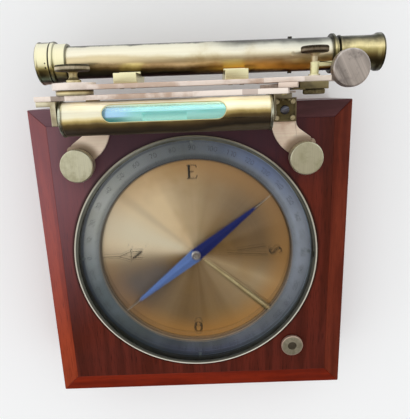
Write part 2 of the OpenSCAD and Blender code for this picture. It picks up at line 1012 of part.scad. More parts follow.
module foot_brackets() {
    color("olive")
        both_sides()
            difference() {
                union() {
                    block(foot_x - foot_w / 2, foot_y0, foot_z0, foot_w, foot_w, foot_t);
                    block(foot_x - upright_w / 2, limb_y0 - upright_t, foot_z0, upright_w, upright_t,
                        foot_t + upright_top);
                }
                bracket_screw_places()
                    translate([0, 0, -foot_t - 1])
                        cylinder(r = small_shank_r, h = foot_t + 2);
                translate([foot_x, (foot_y0 + foot_y1) / 2, foot_z0 - 1])
                    cylinder(r = small_shank_r, h = foot_t + 2);
                foot_screw_places()
                    cylinder(r = limb_shank_r, h = 3 * upright_t, center = true);
            }
}

module bracket_screws() {
    color("darkgoldenrod")
        both_sides() {
            bracket_screw_places()
                rotate([0, 0, 40])
                    slot_screw(head_r, head_h, small_shank_r, foot_t + ear_t);
            translate([foot_x, (foot_y0 + foot_y1) / 2, foot_z1])
                slot_screw(center_r, head_h, small_shank_r, foot_t);
        }
}

// Limb

module limb_plate() {
    color("rosybrown")
        difference() {
            union() {
                xz_plate(limb_y0, limb_y1) {
                    translate([-bar_left, bar_z0])
                        square([bar_left + bar_right, bar_h]);
                    for (side = [-1, 1])
                        translate([side * foot_x - tab_w / 2, foot_z0 + 0.5])
                            square([tab_w, bar_z0 - foot_z0 + 2]);
                }
                pivot_plate(limb_y0, limb_y1)
                    circle(r = boss_r);
                pivot_sector(spoke_in_r, limb_end_r, -arc_half, arc_half, limb_y0, limb_y1);
            }
            for (side = [-1, 1])
                pivot_sector(spoke_in_r + limb_frame_end, spoke_out_r,
                    side > 0 ? spoke_deg + 3 : -arc_half + spoke_deg,
                    side > 0 ? arc_half - spoke_deg : -spoke_deg - 3, limb_y0 - 1, limb_y1 + 1);
            pivot_sector(jaw_x0 - lip_in + pivot_x - pass_gap, arc_out_r + foot_w, -arc_half, 0,
                lip_y0 - pass_gap, limb_y1 + 1);
            rod_y(-pivot_x, limb_y0 - 1, pivot_z, pivot_hole_r, limb_t + 2);
            limb_screw_places()
                cylinder(r = limb_shank_r, h = 2 * limb_y0, center = true);
        }
}

module limb_arc() {
    color("mistyrose")
        difference() {
            pivot_sector(arc_in_r, arc_out_r, -arc_half, arc_half, limb_y1, arc_y1);
            arc_screw_places()
                translate([0, 0, -arc_screw_l])
                    cylinder(r = limb_shank_r, h = arc_screw_l + 1);
        }
}

// Places of the screws through the uprights of the feet, heads towards the level
module foot_screw_places() {
    for (side = [-1, 1])
        for (dx = [-limb_screw_dx, limb_screw_dx])
            translate([side * foot_x + dx, limb_y0 - upright_t, limb_screw_z])
                rotate([90, 0, 0])
                    children();
}

// Places of the screws through the plate into the arc
module arc_screw_places() {
    for (a = [arc_screw_in - arc_half, arc_half - arc_screw_in])
        translate([arc_screw_r * cos(a) - pivot_x, limb_y0, pivot_z + arc_screw_r * sin(a)])
            rotate([90, 0, 0])
                children();
}

module limb_screw_places() {
    foot_screw_places()
        children();
    arc_screw_places()
        children();
}

// Screws that fix the limb plate to the foot brackets and the arc to the plate
module limb_screws() {
    color("darkgoldenrod")
        union() {
            foot_screw_places()
                slot_screw(limb_head_r, head_h, limb_shank_r, upright_t + 1);
            arc_screw_places()
                slot_screw(limb_head_r, head_h, limb_shank_r, arc_screw_l);
        }
}

// Spacing collar between the limb plate and the arm
module pivot_collar() {
    color("goldenrod")
        difference() {
            rod_y(-pivot_x, limb_y1, pivot_z, hub_r - 1.6, arm_y0 - limb_y1 - fit);
            rod_y(-pivot_x, limb_y1 - 1, pivot_z, pivot_hole_r, arm_y0);
        }
}

// Thumbscrew on which the telescope's arm turns
module pivot_screw() {
    stem_y = hub_y1 + fit;
    color("darkkhaki")
        union() {
            rod_y(-pivot_x, limb_y0, pivot_z, pivot_shank_r, stem_y - limb_y0 + eps);
            rod_y(-pivot_x, stem_y, pivot_z, washer_r, washer_t);
            rod_y(-pivot_x, stem_y + washer_t - eps, pivot_z, pivot_shank_r, stem_l + 2 * eps);
            rod_y(-pivot_x, stem_y + washer_t + stem_l, pivot_z, pivot_head_r, pivot_head_t);
        }
}

// Level

// Round-ended slot, turned a little to the back, cut through the top of the tube
module window_cut() {
    translate([-window_x, level_y, level_z])
        rotate([-window_turn, 0, 0])
            linear_extrude(level_r + 2)
                union() {
                    square([window_l - window_w, window_w], center = true);
                    for (side = [-1, 1])
                        translate([side * (window_l - window_w) / 2, 0])
                            circle(r = window_w / 2);
                }
}

module level_tube() {
    x0 = end_disc_t - level_left;
    tube_l = level_left + level_right - 2 * end_disc_t;
    color("gold")
        difference() {
            rod_x(x0, level_y, level_z, level_r, tube_l);
            rod_x(x0 - 1, level_y, level_z, level_r - level_wall, tube_l + 2);
            window_cut();
        }
}

vial_x0 = end_disc_t + plug_l - vial_seat - level_left;
vial_l = level_left + level_right - 2 * (end_disc_t + plug_l - vial_seat);

module level_vial() {
    color("lightcyan", 0.35)
        difference() {
            rod_x(vial_x0, level_y, level_z, vial_r, vial_l);
            rod_x(vial_x0 + 2, level_y, level_z, vial_r - vial_wall, vial_l - 4);
        }
}

// Liquid in the vial, with the hollow of its bubble
module level_spirit() {
    liquid_r = vial_r - vial_wall;
    color("mediumturquoise", 0.6)
        difference() {
            rod_x(vial_x0 + 2, level_y, level_z, liquid_r, vial_l - 4);
            rod_x(-window_x - bubble_l / 2, level_y, level_z + liquid_r + 0.4, 2.6, bubble_l);
        }
}

// One end of the level: disc, plug and stud, drawn with the tube on its +X side
module level_end(gap, plate) {
    difference() {
        union() {
            rod_x(0, 0, 0, end_disc_r, end_disc_t);
            rod_x(0, 0, 0, level_r - level_wall, end_disc_t + plug_l);
            rod_x(-gap - plate - stud_over, 0, 0, stud_r, gap + plate + stud_over + eps);
        }
        rod_x(end_disc_t + plug_l - vial_seat, 0, 0, vial_r, plug_l);
    }
}

module level_ends() {
    color("khaki") {
        translate([-level_left, level_y, level_z])
            level_end(plate_gap, plate_l);
        translate([level_right, level_y, level_z])
            mirror([1, 0, 0])
                level_end(thin_gap, thin_l);
    }
}

// One end bracket, drawn with the level on its +X side
module level_bracket(gap, plate, reach) {
    plate_y0 = limb_y0 - level_y - level_plate_w;
    difference() {
        union() {
            block(-gap - plate, plate_y0, -level_plate_h / 2, plate, level_plate_w, level_plate_h);
            block(-gap - plate - reach, limb_y0 - level_y - level_foot_t, -level_plate_h / 2,
                reach + eps, level_foot_t, level_plate_h);
        }
        rod_x(-gap - plate - 1, 0, 0, stud_r, plate + 2);
    }
}

module level_brackets() {
    color("peru") {
        translate([-level_left, level_y, level_z])
            level_bracket(plate_gap, plate_l, bar_left - level_left - plate_l - plate_gap);
        translate([level_right, level_y, level_z])
            mirror([1, 0, 0])
                level_bracket(thin_gap, thin_l, thin_reach);
    }
}

// Telescope arm

module telescope_arm() {
    color("rosybrown")
        difference() {
            union() {
                rod_y(-pivot_x, arm_y0, pivot_z, hub_r, hub_y1 - arm_y0);
                block(-pivot_x, arm_y0, pivot_z - arm_h / 2, (frame_in_r + arc_in_r) / 2, arm_t, arm_h);
                pivot_sector(frame_in_r, arm_end_r, -frame_half, frame_half, arm_y0, arm_y1);
                block(arc_in_r - pivot_x, arm_y0, lug_bar_z0, tangent_x + lug_w / 2 + pivot_x - arc_in_r,
                    arm_t, pivot_z - jaw_h / 2 - tangent_travel - 0.3 - lug_bar_z0);
                block(tangent_x - lug_w / 2, arm_y0, lug_bar_z0, lug_w, arm_t, nut_top - lug_bar_z0);
                block(tangent_x - lug_w / 2, arm_y0, nut_top - lug_t, lug_w,
                    back + tangent_y + tangent_r + 2 - arm_y0, lug_t);
            }
            rod_y(-pivot_x, arm_y0 - 1, pivot_z, pivot_hole_r, hub_y1);
            pivot_sector(window_in_r, window_out_r, -vernier_half, vernier_half, arm_y0 - 1, arm_y1 + 1);
            translate([tangent_x, back + tangent_y, nut_top - lug_t - 1])
                cylinder(r = tangent_r + tangent_clear, h = lug_t + 2);
            arm_screw_places()
                translate([0, 0, -arm_screw_l])
                    cylinder(r = arm_screw_r, h = arm_screw_l + 1);
        }
}

module vernier_plate() {
    color("silver")
        pivot_sector(window_in_r, window_in_r + vernier_w, -vernier_half, vernier_half, arm_y0,
            arm_y0 + vernier_t);
}

// One saddle that hangs the tube from the arm
module saddle(x) {
    difference() {
        union() {
            block(x - saddle_l / 2, arm_y1, axis_z - saddle_up, saddle_l, saddle_deep, 2 * saddle_up);
            block(x - saddle_l / 2, arm_y1, axis_z, saddle_l, saddle_t, pivot_z + arm_h / 2 - 1 - axis_z);
        }
        rod_x(x - saddle_l, axis_y, axis_z, tube_r, 2 * saddle_l);
        arm_screw_places()
            translate([0, 0, -arm_screw_l])
                cylinder(r = arm_screw_r, h = arm_screw_l);
    }
}

module scope_feet() {
    color("gold") {
        saddle(saddle_left);
        saddle(saddle_right);
    }
}

// Places of the screws that hold the saddles to the arm
module arm_screw_places() {
    for (x = [saddle_left, saddle_right])
        for (side = [-1, 1])
            translate([x + side * saddle_l / 4, arm_y0, pivot_z])
                rotate([90, 0, 0])
                    children();
}

module foot_screws() {
    color("darkgoldenrod")
        arm_screw_places()
            slot_screw(2 * arm_screw_r, arm_screw_r / 2, arm_screw_r, arm_screw_l);
}

// Telescope

module main_tube() {
    tube_l = tube_left + tube_right;
    color("gold")
        difference() {
            rod_x(-tube_left, axis_y, axis_z, tube_r, tube_l);
            rod_x(-tube_left - 1, axis_y, axis_z, tube_in_r, tube_l + 2);
            reticle_screw_places()
                translate([0, 0, -5])
                    cylinder(r = 0.6, h = 10);
        }
}

module objective_cell() {
    bead_x = cell_x0;
    color("gold")
        difference() {
            union() {
                rod_x(cell_x0, axis_y, axis_z, sleeve_r, sleeve_l);
                rod_x(bead_x, axis_y, axis_z, bead_r, bead_l);
                rod_x(cell_x0 - nose_l, axis_y, axis_z, nose_r, nose_l + eps);
            }
            rod_x(-tube_left, axis_y, axis_z, tube_r, sleeve_l);
            rod_x(-tube_left - lens_t, axis_y, axis_z, lens_r, lens_t + eps);
            rod_x(cell_x0 - nose_l - 1, axis_y, axis_z, lens_r - 0.8, nose_l + sleeve_l);
        }
}

module objective_lens() {
    color("lightblue", 0.4)
        rod_x(-tube_left - lens_t, axis_y, axis_z, lens_r, lens_t);
}

// Push-on cap over the objective's nose
module objective_cap() {
    wall_r = nose_r + fit;
    end_x = cell_x0 - cap_l;
    color("gold")
        difference() {
            rod_x(end_x, axis_y, axis_z, bead_r - 0.1, cap_l - 0.2);
            rod_x(end_x + 1.4, axis_y, axis_z, wall_r, cap_l);
        }
}

// Ring that carries two crossed wires
module reticle_ring() {
    color("black")
        union() {
            difference() {
                rod_x(reticle_x - reticle_l / 2, axis_y, axis_z, tube_in_r, reticle_l);
                rod_x(reticle_x - reticle_l, axis_y, axis_z, tube_in_r - 2.4, 2 * reticle_l);
            }
            block(reticle_x, axis_y - tube_in_r + 1, axis_z - wire_w / 2, wire_w, 2 * tube_in_r - 2, wire_w);
            block(reticle_x, axis_y - wire_w / 2, axis_z - tube_in_r + 1, wire_w, wire_w, 2 * tube_in_r - 2);
        }
}

module reticle_screw_places() {
    for (i = [0:3])
        translate([reticle_x, axis_y, axis_z])
            rotate([90 * i, 0, 0])
                translate([0, 0, tube_r])
                    children();
}

module reticle_screws() {
    color("dimgray")
        reticle_screw_places()
            slot_screw(1.2, 0.9, 0.6, tube_wall, 0.3);
}

// Beaded ring at the eyepiece end of the main tube
module rear_flange() {
    color("khaki")
        difference() {
            union() {
                rod_x(tube_right, axis_y, axis_z, rim_r, rim_l);
                rod_x(tube_right, axis_y, axis_z, tube_r + 0.5, rim_l + collar_l);
            }
            rod_x(tube_right - 1, axis_y, axis_z, tube_in_r, rim_l + collar_l + 2);
        }
}

// Draw tube with the eyepiece body and its flared rim, turned from one outline
module eyepiece_tube() {
    flare_l = 2.6;
    ring_l = 1.4;
    cup_l = 1.8;
    hole_r = 3;
    color("gold")
        translate([0, axis_y, axis_z])
            rotate([0, 90, 0])
                rotate_extrude()
                    polygon([[field_lens_r, tube_right - draw_in], [draw_r, tube_right - draw_in],
                        [draw_r, eye_x0], [eye_r + 0.5, eye_x0], [eye_r + 0.5, eye_x0 + ring_l],
                        [eye_r, eye_x0 + ring_l], [eye_r, eye_x1 - 2 * flare_l], [flare_r, eye_x1 - flare_l],
                        [flare_r, eye_x1], [flare_r - 1.2, eye_x1], [hole_r, eye_x1 - cup_l],
                        [hole_r, eye_lens_x1], [eye_lens_r, eye_lens_x1], [eye_lens_r, eye_lens_x1 - 5],
                        [field_lens_r, eye_lens_x1 - 5]]);
}

module eye_lens() {
    color("lightblue", 0.4)
        rod_x(eye_lens_x1 - 3, axis_y, axis_z, eye_lens_r, 2.4);
}

// Clamp and tangent screw

// Jaw that hooks over the outer edge of the arc from behind
module clamp_jaw() {
    color("olive")
        difference() {
            union() {
                block(jaw_x0, limb_y1 - 1, pivot_z - jaw_h / 2, jaw_l, arc_t + 1 + pass_gap, jaw_h);
                block(jaw_x0 - lip_in, lip_y0, pivot_z - jaw_h / 2, lip_in + 3, lip_t, jaw_h);
            }
            rod_y(clamp_x, 0, pivot_z, clamp_shank_r + fit, 2 * back);
        }
}

// Front plate of the clamp with the beam that carries the tangent screw
module clamp_bracket() {
    plate_y1 = arm_y0 + clamp_plate_t;
    tangent_yy = back + tangent_y;
    color("gold")
        difference() {
            union() {
                block(clamp_plate_x0, arm_y0, pivot_z - jaw_h / 2, clamp_step_x - clamp_plate_x0,
                    clamp_plate_t, jaw_h);
                block(clamp_plate_x0, arm_y0, pivot_z - jaw_h / 2, clamp_plate_x1 - clamp_plate_x0,
                    clamp_plate_t, beam_z0 + beam_h - pivot_z + jaw_h / 2);
                rod_y(clamp_x, plate_y1 - eps, pivot_z, pillar_r, beam_y1 - plate_y1);
                rod_y(clamp_x, plate_y1 - eps, pivot_z, pillar_foot_r, pillar_foot_l);
                block(clamp_x, beam_y1 - beam_t, beam_z0, tangent_x - clamp_x, beam_t, beam_h);
                translate([tangent_x, tangent_yy, beam_z0])
                    cylinder(r = eye_r_out, h = beam_h);
            }
            rod_y(clamp_x, 0, pivot_z, clamp_shank_r + fit, 2 * back);
            translate([tangent_x, tangent_yy, beam_z0 - 1])
                cylinder(r = tangent_r + fit, h = beam_h + 2);
        }
}

module clamp_nut() {
    color("darkgoldenrod")
        difference() {
            rod_y(clamp_x, limb_y1 - 1 - nut_t, pivot_z, nut_r, nut_t);
            rod_y(clamp_x, 0, pivot_z, clamp_shank_r + fit, 2 * back);
        }
}

module clamp_screw() {
    shank_y0 = limb_y1 - 1 - nut_t;
    color("dimgray")
        union() {
            rod_y(clamp_x, shank_y0, pivot_z, clamp_shank_r, clamp_head_y - shank_y0 + eps);
            translate([clamp_x, clamp_head_y - clamp_hub_l, pivot_z])
                rotate([-90, 0, 0])
                    cylinder(r1 = clamp_shank_r, r2 = clamp_hub_r, h = clamp_hub_l + eps);
            rod_y(clamp_x, clamp_head_y, pivot_z, clamp_head_r, clamp_head_t);
        }
}

module tangent_screw() {
    color("gray")
        translate([tangent_x, back + tangent_y, 0])
            union() {
                translate([0, 0, tangent_z0])
                    cylinder(r = tangent_head_r, h = tangent_head_t);
                translate([0, 0, tangent_z0 - head_gap + fit])
                    cylinder(r = tangent_r + 1.4, h = head_gap);
                translate([0, 0, tangent_end])
                    cylinder(r = tangent_r, h = tangent_z0 - tangent_end + eps);
            }
}

base_board();
rail_front();
rail_back();
rail_left();
rail_right();
top_panel();
board_screws();
tripod_flange();
flange_screws();
compass_bowl();
dial_plate();
graduated_ring();
ring_screws();
bezel_ring();
glass_retainer();
cover_glass();
pivot_pin();
lift_collar();
needle_blade();
needle_cap();
lift_lever();
fulcrum_pin();
lift_button();
button_bush();
lift_spring();
ear_left();
ear_right();
ear_bushes();
ear_screw_left();
ear_screw_right();
foot_brackets();
bracket_screws();
limb_plate();
limb_arc();
limb_screws();
pivot_collar();
pivot_screw();
level_tube();
level_vial();
level_spirit();
level_ends();
level_brackets();
telescope_arm();
vernier_plate();
scope_feet();
foot_screws();
main_tube();
objective_cell();
objective_lens();
objective_cap();
reticle_ring();
reticle_screws();
rear_flange();
eyepiece_tube();
eye_lens();
clamp_jaw();
clamp_bracket();
clamp_screw();
clamp_nut();
tangent_screw();
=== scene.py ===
import math
from functools import partial
import bpy
import bmesh
from mathutils import Matrix, Vector


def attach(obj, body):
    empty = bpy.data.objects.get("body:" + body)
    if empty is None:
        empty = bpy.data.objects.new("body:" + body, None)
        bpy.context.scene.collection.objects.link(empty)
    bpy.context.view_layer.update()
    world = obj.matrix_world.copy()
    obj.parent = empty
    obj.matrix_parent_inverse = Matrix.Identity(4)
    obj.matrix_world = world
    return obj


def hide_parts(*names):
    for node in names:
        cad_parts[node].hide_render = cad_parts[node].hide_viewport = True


# Box compass with a level and a sighting telescope. Sizes in the dictionaries are
# millimetres in the frame of the box: z 0 is the underside, x runs along the telescope.

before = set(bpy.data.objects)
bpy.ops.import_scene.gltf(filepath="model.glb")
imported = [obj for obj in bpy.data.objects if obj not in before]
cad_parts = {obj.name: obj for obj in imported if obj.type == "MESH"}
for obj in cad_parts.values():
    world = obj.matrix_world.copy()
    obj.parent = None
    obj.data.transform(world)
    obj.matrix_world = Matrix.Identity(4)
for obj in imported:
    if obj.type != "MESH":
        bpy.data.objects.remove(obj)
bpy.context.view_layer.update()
mm = 0.001
tau = 2 * math.pi
print("frame loaded:", len(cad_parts), "nodes")

# Where the main things are
place = {
    "dialTop": 37.4,
    "ringTop": 40.6,
    "pivot": (-60.0, 65.5),  # x and z of the arm's pivot
    "scope": (120.0, 47.0),  # y and z of the telescope's axis
    "level": (89.7, 62.0),  # y and z of the level's axis
    "clampX": 67.0,
    "tangent": (84.4, 111.0),  # x and y of the tangent screw
    "needleTurn": 38.4,
    "leverTurn": -40.5,
}


def feed(target, value):
    if isinstance(value, bpy.types.Node):
        value = value.outputs[0]
    if isinstance(value, bpy.types.NodeSocket):
        target.id_data.links.new(value, target)
    else:
        target.default_value = value


def addNode(tree, kind, sockets=None, **values):
    # "sockets" says what goes into each input: a node (its first output), an output or a value
    node = tree.nodes.new(kind)
    for key, value in values.items():
        setattr(node, key, value)
    for key, value in (sockets or {}).items():
        feed(node.inputs[key], value)
    return node


def treeOf(*values):
    return next(v.id_data for v in values if isinstance(v, (bpy.types.Node, bpy.types.NodeSocket)))


def mathNode(operation, *values, clamp=False):
    return addNode(treeOf(*values), "ShaderNodeMath", dict(enumerate(values)), operation=operation,
                   use_clamp=clamp).outputs[0]


plus, minus, times, over = (partial(mathNode, name) for name in ("ADD", "SUBTRACT", "MULTIPLY", "DIVIDE"))


def vectorMath(operation, *values):
    node = addNode(treeOf(*values), "ShaderNodeVectorMath", dict(enumerate(values)), operation=operation)
    return node.outputs["Value" if operation == "LENGTH" else "Vector"]


def splitVector(vector):
    return addNode(treeOf(vector), "ShaderNodeSeparateXYZ", {0: vector}).outputs


def joinVector(x=0.0, y=0.0, z=0.0):
    return addNode(treeOf(x, y, z), "ShaderNodeCombineXYZ", {0: x, 1: y, 2: z}).outputs[0]


def rise(value, low, high):
    # 0 at the first level and 1 at the second, smoothly between
    return addNode(treeOf(value), "ShaderNodeMapRange", {"Value": value, "From Min": low, "From Max": high},
                   interpolation_type="SMOOTHSTEP").outputs[0]


def makeTree(name, kind, inputs, outputs):
    # An input has its default, or the name of its type where it has none
    tree = bpy.data.node_groups.new(name, kind)
    for label, value in inputs.items():
        named = isinstance(value, str)
        kindName = value if named else "Int" if isinstance(value, int) else "Float"
        socket = tree.interface.new_socket(name=label, in_out="INPUT", socket_type="NodeSocket" + kindName)
        if not named:
            socket.default_value = value
    for label, kindName in outputs.items():
        tree.interface.new_socket(name=label, in_out="OUTPUT", socket_type="NodeSocket" + kindName)
    return tree, tree.nodes.new("NodeGroupInput").outputs, tree.nodes.new("NodeGroupOutput").inputs


def shapeTree(name, sizes):
    return makeTree(name, "GeometryNodeTree", {"Geometry": "Geometry", **sizes, "Material": "Material"},
                    {"Geometry": "Geometry"})


def finishTree(tree, geometry, get, sink):
    real = addNode(tree, "GeometryNodeRealizeInstances", {0: geometry})
    coat = addNode(tree, "GeometryNodeSetMaterial", {"Geometry": real, "Material": get["Material"]})
    feed(sink[0], coat)
    return tree


def readPoints(tree, name, kind):
    return addNode(
        tree, "GeometryNodeInputNamedAttribute", {"Name": name}, data_type=kind,
    ).outputs["Attribute"]


def polarPoint(reach, angle, level):
    return joinVector(times(reach, mathNode("COSINE", angle)), times(reach, mathNode("SINE", angle)), level)


def buildTurnedTree():
    # Turns an outline (x is the radius, z the height) round Z, with an optional milled band
    tree, get, sink = shapeTree("turnedPiece", {
        "Steps": 96, "Mill Count": 60, "Mill Depth": 0.0, "Mill Radius": 1.0, "Mill Low": 0.0,
        "Mill High": 0.0, "Outer Radius": 0.01,
    })
    outline = {"Geometry": get["Geometry"]}
    rows = addNode(tree, "GeometryNodeAttributeDomainSize", outline).outputs["Point Count"]
    grid = addNode(tree, "GeometryNodeMeshGrid", {"Vertices X": plus(get["Steps"], 1), "Vertices Y": rows})
    index = addNode(tree, "GeometryNodeInputIndex")
    column = mathNode("FLOOR", over(plus(index, 0.5), rows))
    row = minus(index, times(column, rows))

    def sample(value, kind):
        return addNode(tree, "GeometryNodeSampleIndex", {**outline, "Value": value, "Index": row},
                       data_type=kind, domain="POINT")

    at = splitVector(sample(addNode(tree, "GeometryNodeInputPosition"), "FLOAT_VECTOR"))
    run = sample(readPoints(tree, "run", "FLOAT"), "FLOAT")
    radius, height = at[0], at[2]
    angle = over(times(column, tau), get["Steps"])
    wave = mathNode("COSINE", times(angle, get["Mill Count"]))
    groove = times(minus(0.5, times(wave, 0.5)), get["Mill Depth"])
    for limit, operation, value in (
        ("Mill Radius", "GREATER_THAN", radius), ("Mill Low", "GREATER_THAN", height),
        ("Mill High", "LESS_THAN", height),
    ):
        groove = times(groove, mathNode(operation, value, get[limit]))
    point = polarPoint(minus(radius, groove), angle, height)
    flat = addNode(tree, "GeometryNodeFieldOnDomain", {0: joinVector(times(angle, get["Outer Radius"]), run)},
                   data_type="FLOAT_VECTOR", domain="POINT")
    store = addNode(
        tree, "GeometryNodeStoreNamedAttribute",
        {"Name": "UVMap", "Geometry": grid.outputs["Mesh"], "Value": flat}, data_type="FLOAT2",
        domain="CORNER",
    )
    move = addNode(tree, "GeometryNodeSetPosition", {"Geometry": store, "Position": point})
    merge = addNode(tree, "GeometryNodeMergeByDistance", {"Distance": 1e-7, "Geometry": move})
    return finishTree(tree, merge, get, sink)


def buildTickTree():
    # Scale divisions along an arc, each a thin bar, longer at every fifth and tenth
    tree, get, sink = shapeTree("scaleTicks", {
        "Count": 360, "First Angle": 0.0, "Step Angle": 0.0174533, "Start Radius": 0.07, "Direction": 1.0,
        "Long": 0.004, "Middle": 0.003, "Short": 0.002, "Long Every": 10, "Middle Every": 5, "Width": 0.0001,
        "Height": 0.00004, "Level": 0.0,
    })
    line = addNode(tree, "GeometryNodeMeshLine", {"Count": get["Count"]})
    index = addNode(tree, "GeometryNodeInputIndex")
    angle = plus(times(index, get["Step Angle"]), get["First Angle"])
    length = get["Short"]
    for name in ("Middle", "Long"):
        rest = mathNode("MODULO", plus(index, 0.5), get[name + " Every"])
        length = plus(length, times(mathNode("LESS_THAN", rest, 0.9), minus(get[name], length)))
    reach = plus(get["Start Radius"], times(times(length, 0.5), get["Direction"]))
    move = addNode(tree, "GeometryNodeSetPosition",
                   {"Geometry": line, "Position": polarPoint(reach, angle, get["Level"])})
    spread = addNode(tree, "GeometryNodeInstanceOnPoints", {
        "Points": move, "Instance": addNode(tree, "GeometryNodeMeshCube"), "Rotation": joinVector(z=angle),
        "Scale": joinVector(length, get["Width"], get["Height"]),
    })
    return finishTree(tree, spread, get, sink)


def buildScrewTree():
    # Slotted, slightly domed screw heads, cut in millimetres and then scaled to metres, on
    # points that carry "axis" and "spin"
    tree, get, sink = shapeTree(
        "slottedScrews",
        {
            "Head Radius": 2.0, "Head Height": 0.8, "Dome": 0.2, "Slot Width": 0.5, "Slot Depth": 0.5,
            "Sides": 28,
        },
    )
    radius, height = get["Head Radius"], get["Head Height"]
    head = addNode(
        tree, "GeometryNodeMeshCylinder",
        {"Vertices": get["Sides"], "Side Segments": 5, "Radius": radius, "Depth": height}, fill_type="NGON",
    )
    spot = splitVector(addNode(tree, "GeometryNodeInputPosition"))
    share = plus(over(spot[2], height), 0.5)
    pinch = minus(1.0, times(mathNode("POWER", share, 4.0), get["Dome"]))
    shape = joinVector(times(spot[0], pinch), times(spot[1], pinch), times(share, height))
    move = addNode(tree, "GeometryNodeSetPosition", {"Geometry": head.outputs["Mesh"], "Position": shape})
    slotSize = joinVector(times(radius, 3.0), get["Slot Width"], times(get["Slot Depth"], 2.0))
    slot = addNode(tree, "GeometryNodeMeshCube", {"Size": slotSize})
    raised = addNode(tree, "GeometryNodeTransform", {"Geometry": slot, "Translation": joinVector(z=height)})
    cut = addNode(tree, "GeometryNodeMeshBoolean", {"Mesh 1": move, "Mesh 2": raised}, operation="DIFFERENCE")
    align = addNode(tree, "FunctionNodeAlignRotationToVector",
                    {"Vector": readPoints(tree, "axis", "FLOAT_VECTOR")}, axis="Z")
    twist = addNode(tree, "FunctionNodeAxisAngleToRotation",
                    {"Axis": (0, 0, 1), "Angle": readPoints(tree, "spin", "FLOAT")})
    both = addNode(tree, "FunctionNodeRotateRotation", {0: align, 1: twist}, rotation_space="LOCAL")
    spread = addNode(
        tree, "GeometryNodeInstanceOnPoints",
        {"Points": get["Geometry"], "Instance": cut.outputs["Mesh"], "Rotation": both, "Scale": (mm, mm, mm)},
    )
    return finishTree(tree, spread, get, sink)


def buildStrokeTree():
    # Sweeps a small bar along lines; "pen" on their points is its width
    tree, get, sink = shapeTree("sweptStrokes", {"Flatness": 0.2, "Sides": 4})
    curve = addNode(tree, "GeometryNodeMeshToCurve", {"Mesh": get["Geometry"]})
    upright = addNode(tree, "GeometryNodeSetCurveNormal", {"Curve": curve}, mode="Z_UP")
    ring = addNode(tree, "GeometryNodeCurvePrimitiveCircle", {"Resolution": get["Sides"], "Radius": 0.5},
                   mode="RADIUS")
    shaped = addNode(tree, "GeometryNodeTransform",
                     {"Geometry": ring.outputs["Curve"], "Scale": joinVector(1.0, get["Flatness"], 1.0)})
    sweep = addNode(
        tree, "GeometryNodeCurveToMesh",
        {
            "Curve": upright, "Scale": readPoints(tree, "pen", "FLOAT"), "Profile Curve": shaped,
            "Fill Caps": True,
        },
    )
    return finishTree(tree, sweep, get, sink)


turnedTree = buildTurnedTree()
tickTree = buildTickTree()
screwTree = buildScrewTree()
strokeTree = buildStrokeTree()
print("geometry trees built")


def makeObject(name, mesh):
    piece = bpy.data.objects.new(name, mesh)
    bpy.context.scene.collection.objects.link(piece)
    return piece


def settle(piece, name):
    # Applies the modifiers of a piece and gives back a plain mesh object
    bpy.context.view_layer.update()
    graph = bpy.context.evaluated_depsgraph_get()
    mesh = bpy.data.meshes.new_from_object(piece.evaluated_get(graph))
    mesh.name = name
    old = piece.data
    piece.modifiers.clear()
    piece.data = mesh
    piece.name = name
    if old.users == 0:
        bpy.data.meshes.remove(old)
    return piece


def grow(name, mesh, tree, values):
    # Runs a Geometry Nodes tree on the mesh and keeps what it makes
    piece = makeObject(name, mesh)
    modifier = piece.modifiers.new("shape", "NODES")
    modifier.node_group = tree
    sockets = {item.name: item.identifier for item in tree.interface.items_tree
               if item.item_type == "SOCKET" and item.in_out == "INPUT"}
    for label, value in values.items():
        modifier[sockets[label]] = value
    return settle(piece, name)


def markWornAndLitEdges(mesh):
    # A point attribute, 1 on sharp convex edges and 0 on flats and in hollows, for edge wear and a painted
    # edge highlight
    size = len(mesh.vertices)
    bend = [0.0] * size
    links = [0] * size
    normals = [v.normal.copy() for v in mesh.vertices]
    for edge in mesh.edges:
        a, b = edge.vertices
        run = mesh.vertices[b].co - mesh.vertices[a].co
        if run.length < 1e-9:
            continue
        run.normalize()
        bend[a] -= normals[a].dot(run)
        bend[b] += normals[b].dot(run)
        links[a] += 1
        links[b] += 1
    values = [min(1.0, max(0.0, (b / max(1, n) - 0.05) * 6)) for b, n in zip(bend, links)]
    layer = mesh.attributes.get("wearAndHighlight") or mesh.attributes.new("wearAndHighlight", "FLOAT", "POINT")
    layer.data.foreach_set("value", values)


def smooth(mesh, angle):
    mesh.shade_smooth()
    mesh.set_sharp_from_angle(angle=math.radians(angle))
    markWornAndLitEdges(mesh)


def pointOut(mesh):
    work = bmesh.new()
    work.from_mesh(mesh)
    if work.calc_volume(signed=True) < 0:
        bmesh.ops.reverse_faces(work, faces=work.faces)
        work.to_mesh(mesh)
    work.free()


def hand(piece, body, slotName, *nodes):
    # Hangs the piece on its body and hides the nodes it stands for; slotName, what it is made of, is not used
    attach(piece, body)
    if nodes:
        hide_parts(*nodes)
    return piece


def softCopy(node, name, material, width=0.25, segments=3):
    # A merged copy of a CAD node with its edges rounded
    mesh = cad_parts[node].data.copy()
    mesh.materials.clear()
    work = bmesh.new()
    work.from_mesh(mesh)
    bmesh.ops.remove_doubles(work, verts=work.verts, dist=3e-6)
    bmesh.ops.dissolve_limit(work, angle_limit=math.radians(0.3), verts=work.verts, edges=work.edges)
    for face in work.faces:
        face.smooth = True
    work.to_mesh(mesh)
    work.free()
    for layer in list(mesh.uv_layers):
        mesh.uv_layers.remove(layer)
    piece = makeObject(name, mesh)
    bevel = piece.modifiers.new("edges", "BEVEL")
    bevel.width = width * mm
    bevel.segments = segments
    bevel.limit_method = "ANGLE"
    bevel.angle_limit = math.radians(28)
    bevel.use_clamp_overlap = False
    bevel.harden_normals = True
    settle(piece, name)
    piece.data.materials.clear()
    piece.data.materials.append(material)
    markWornAndLitEdges(piece.data)
    return piece


def soften(node, name, material, body, slotName, *edges):
    return hand(softCopy(node, name, material, *edges), body, slotName, node)


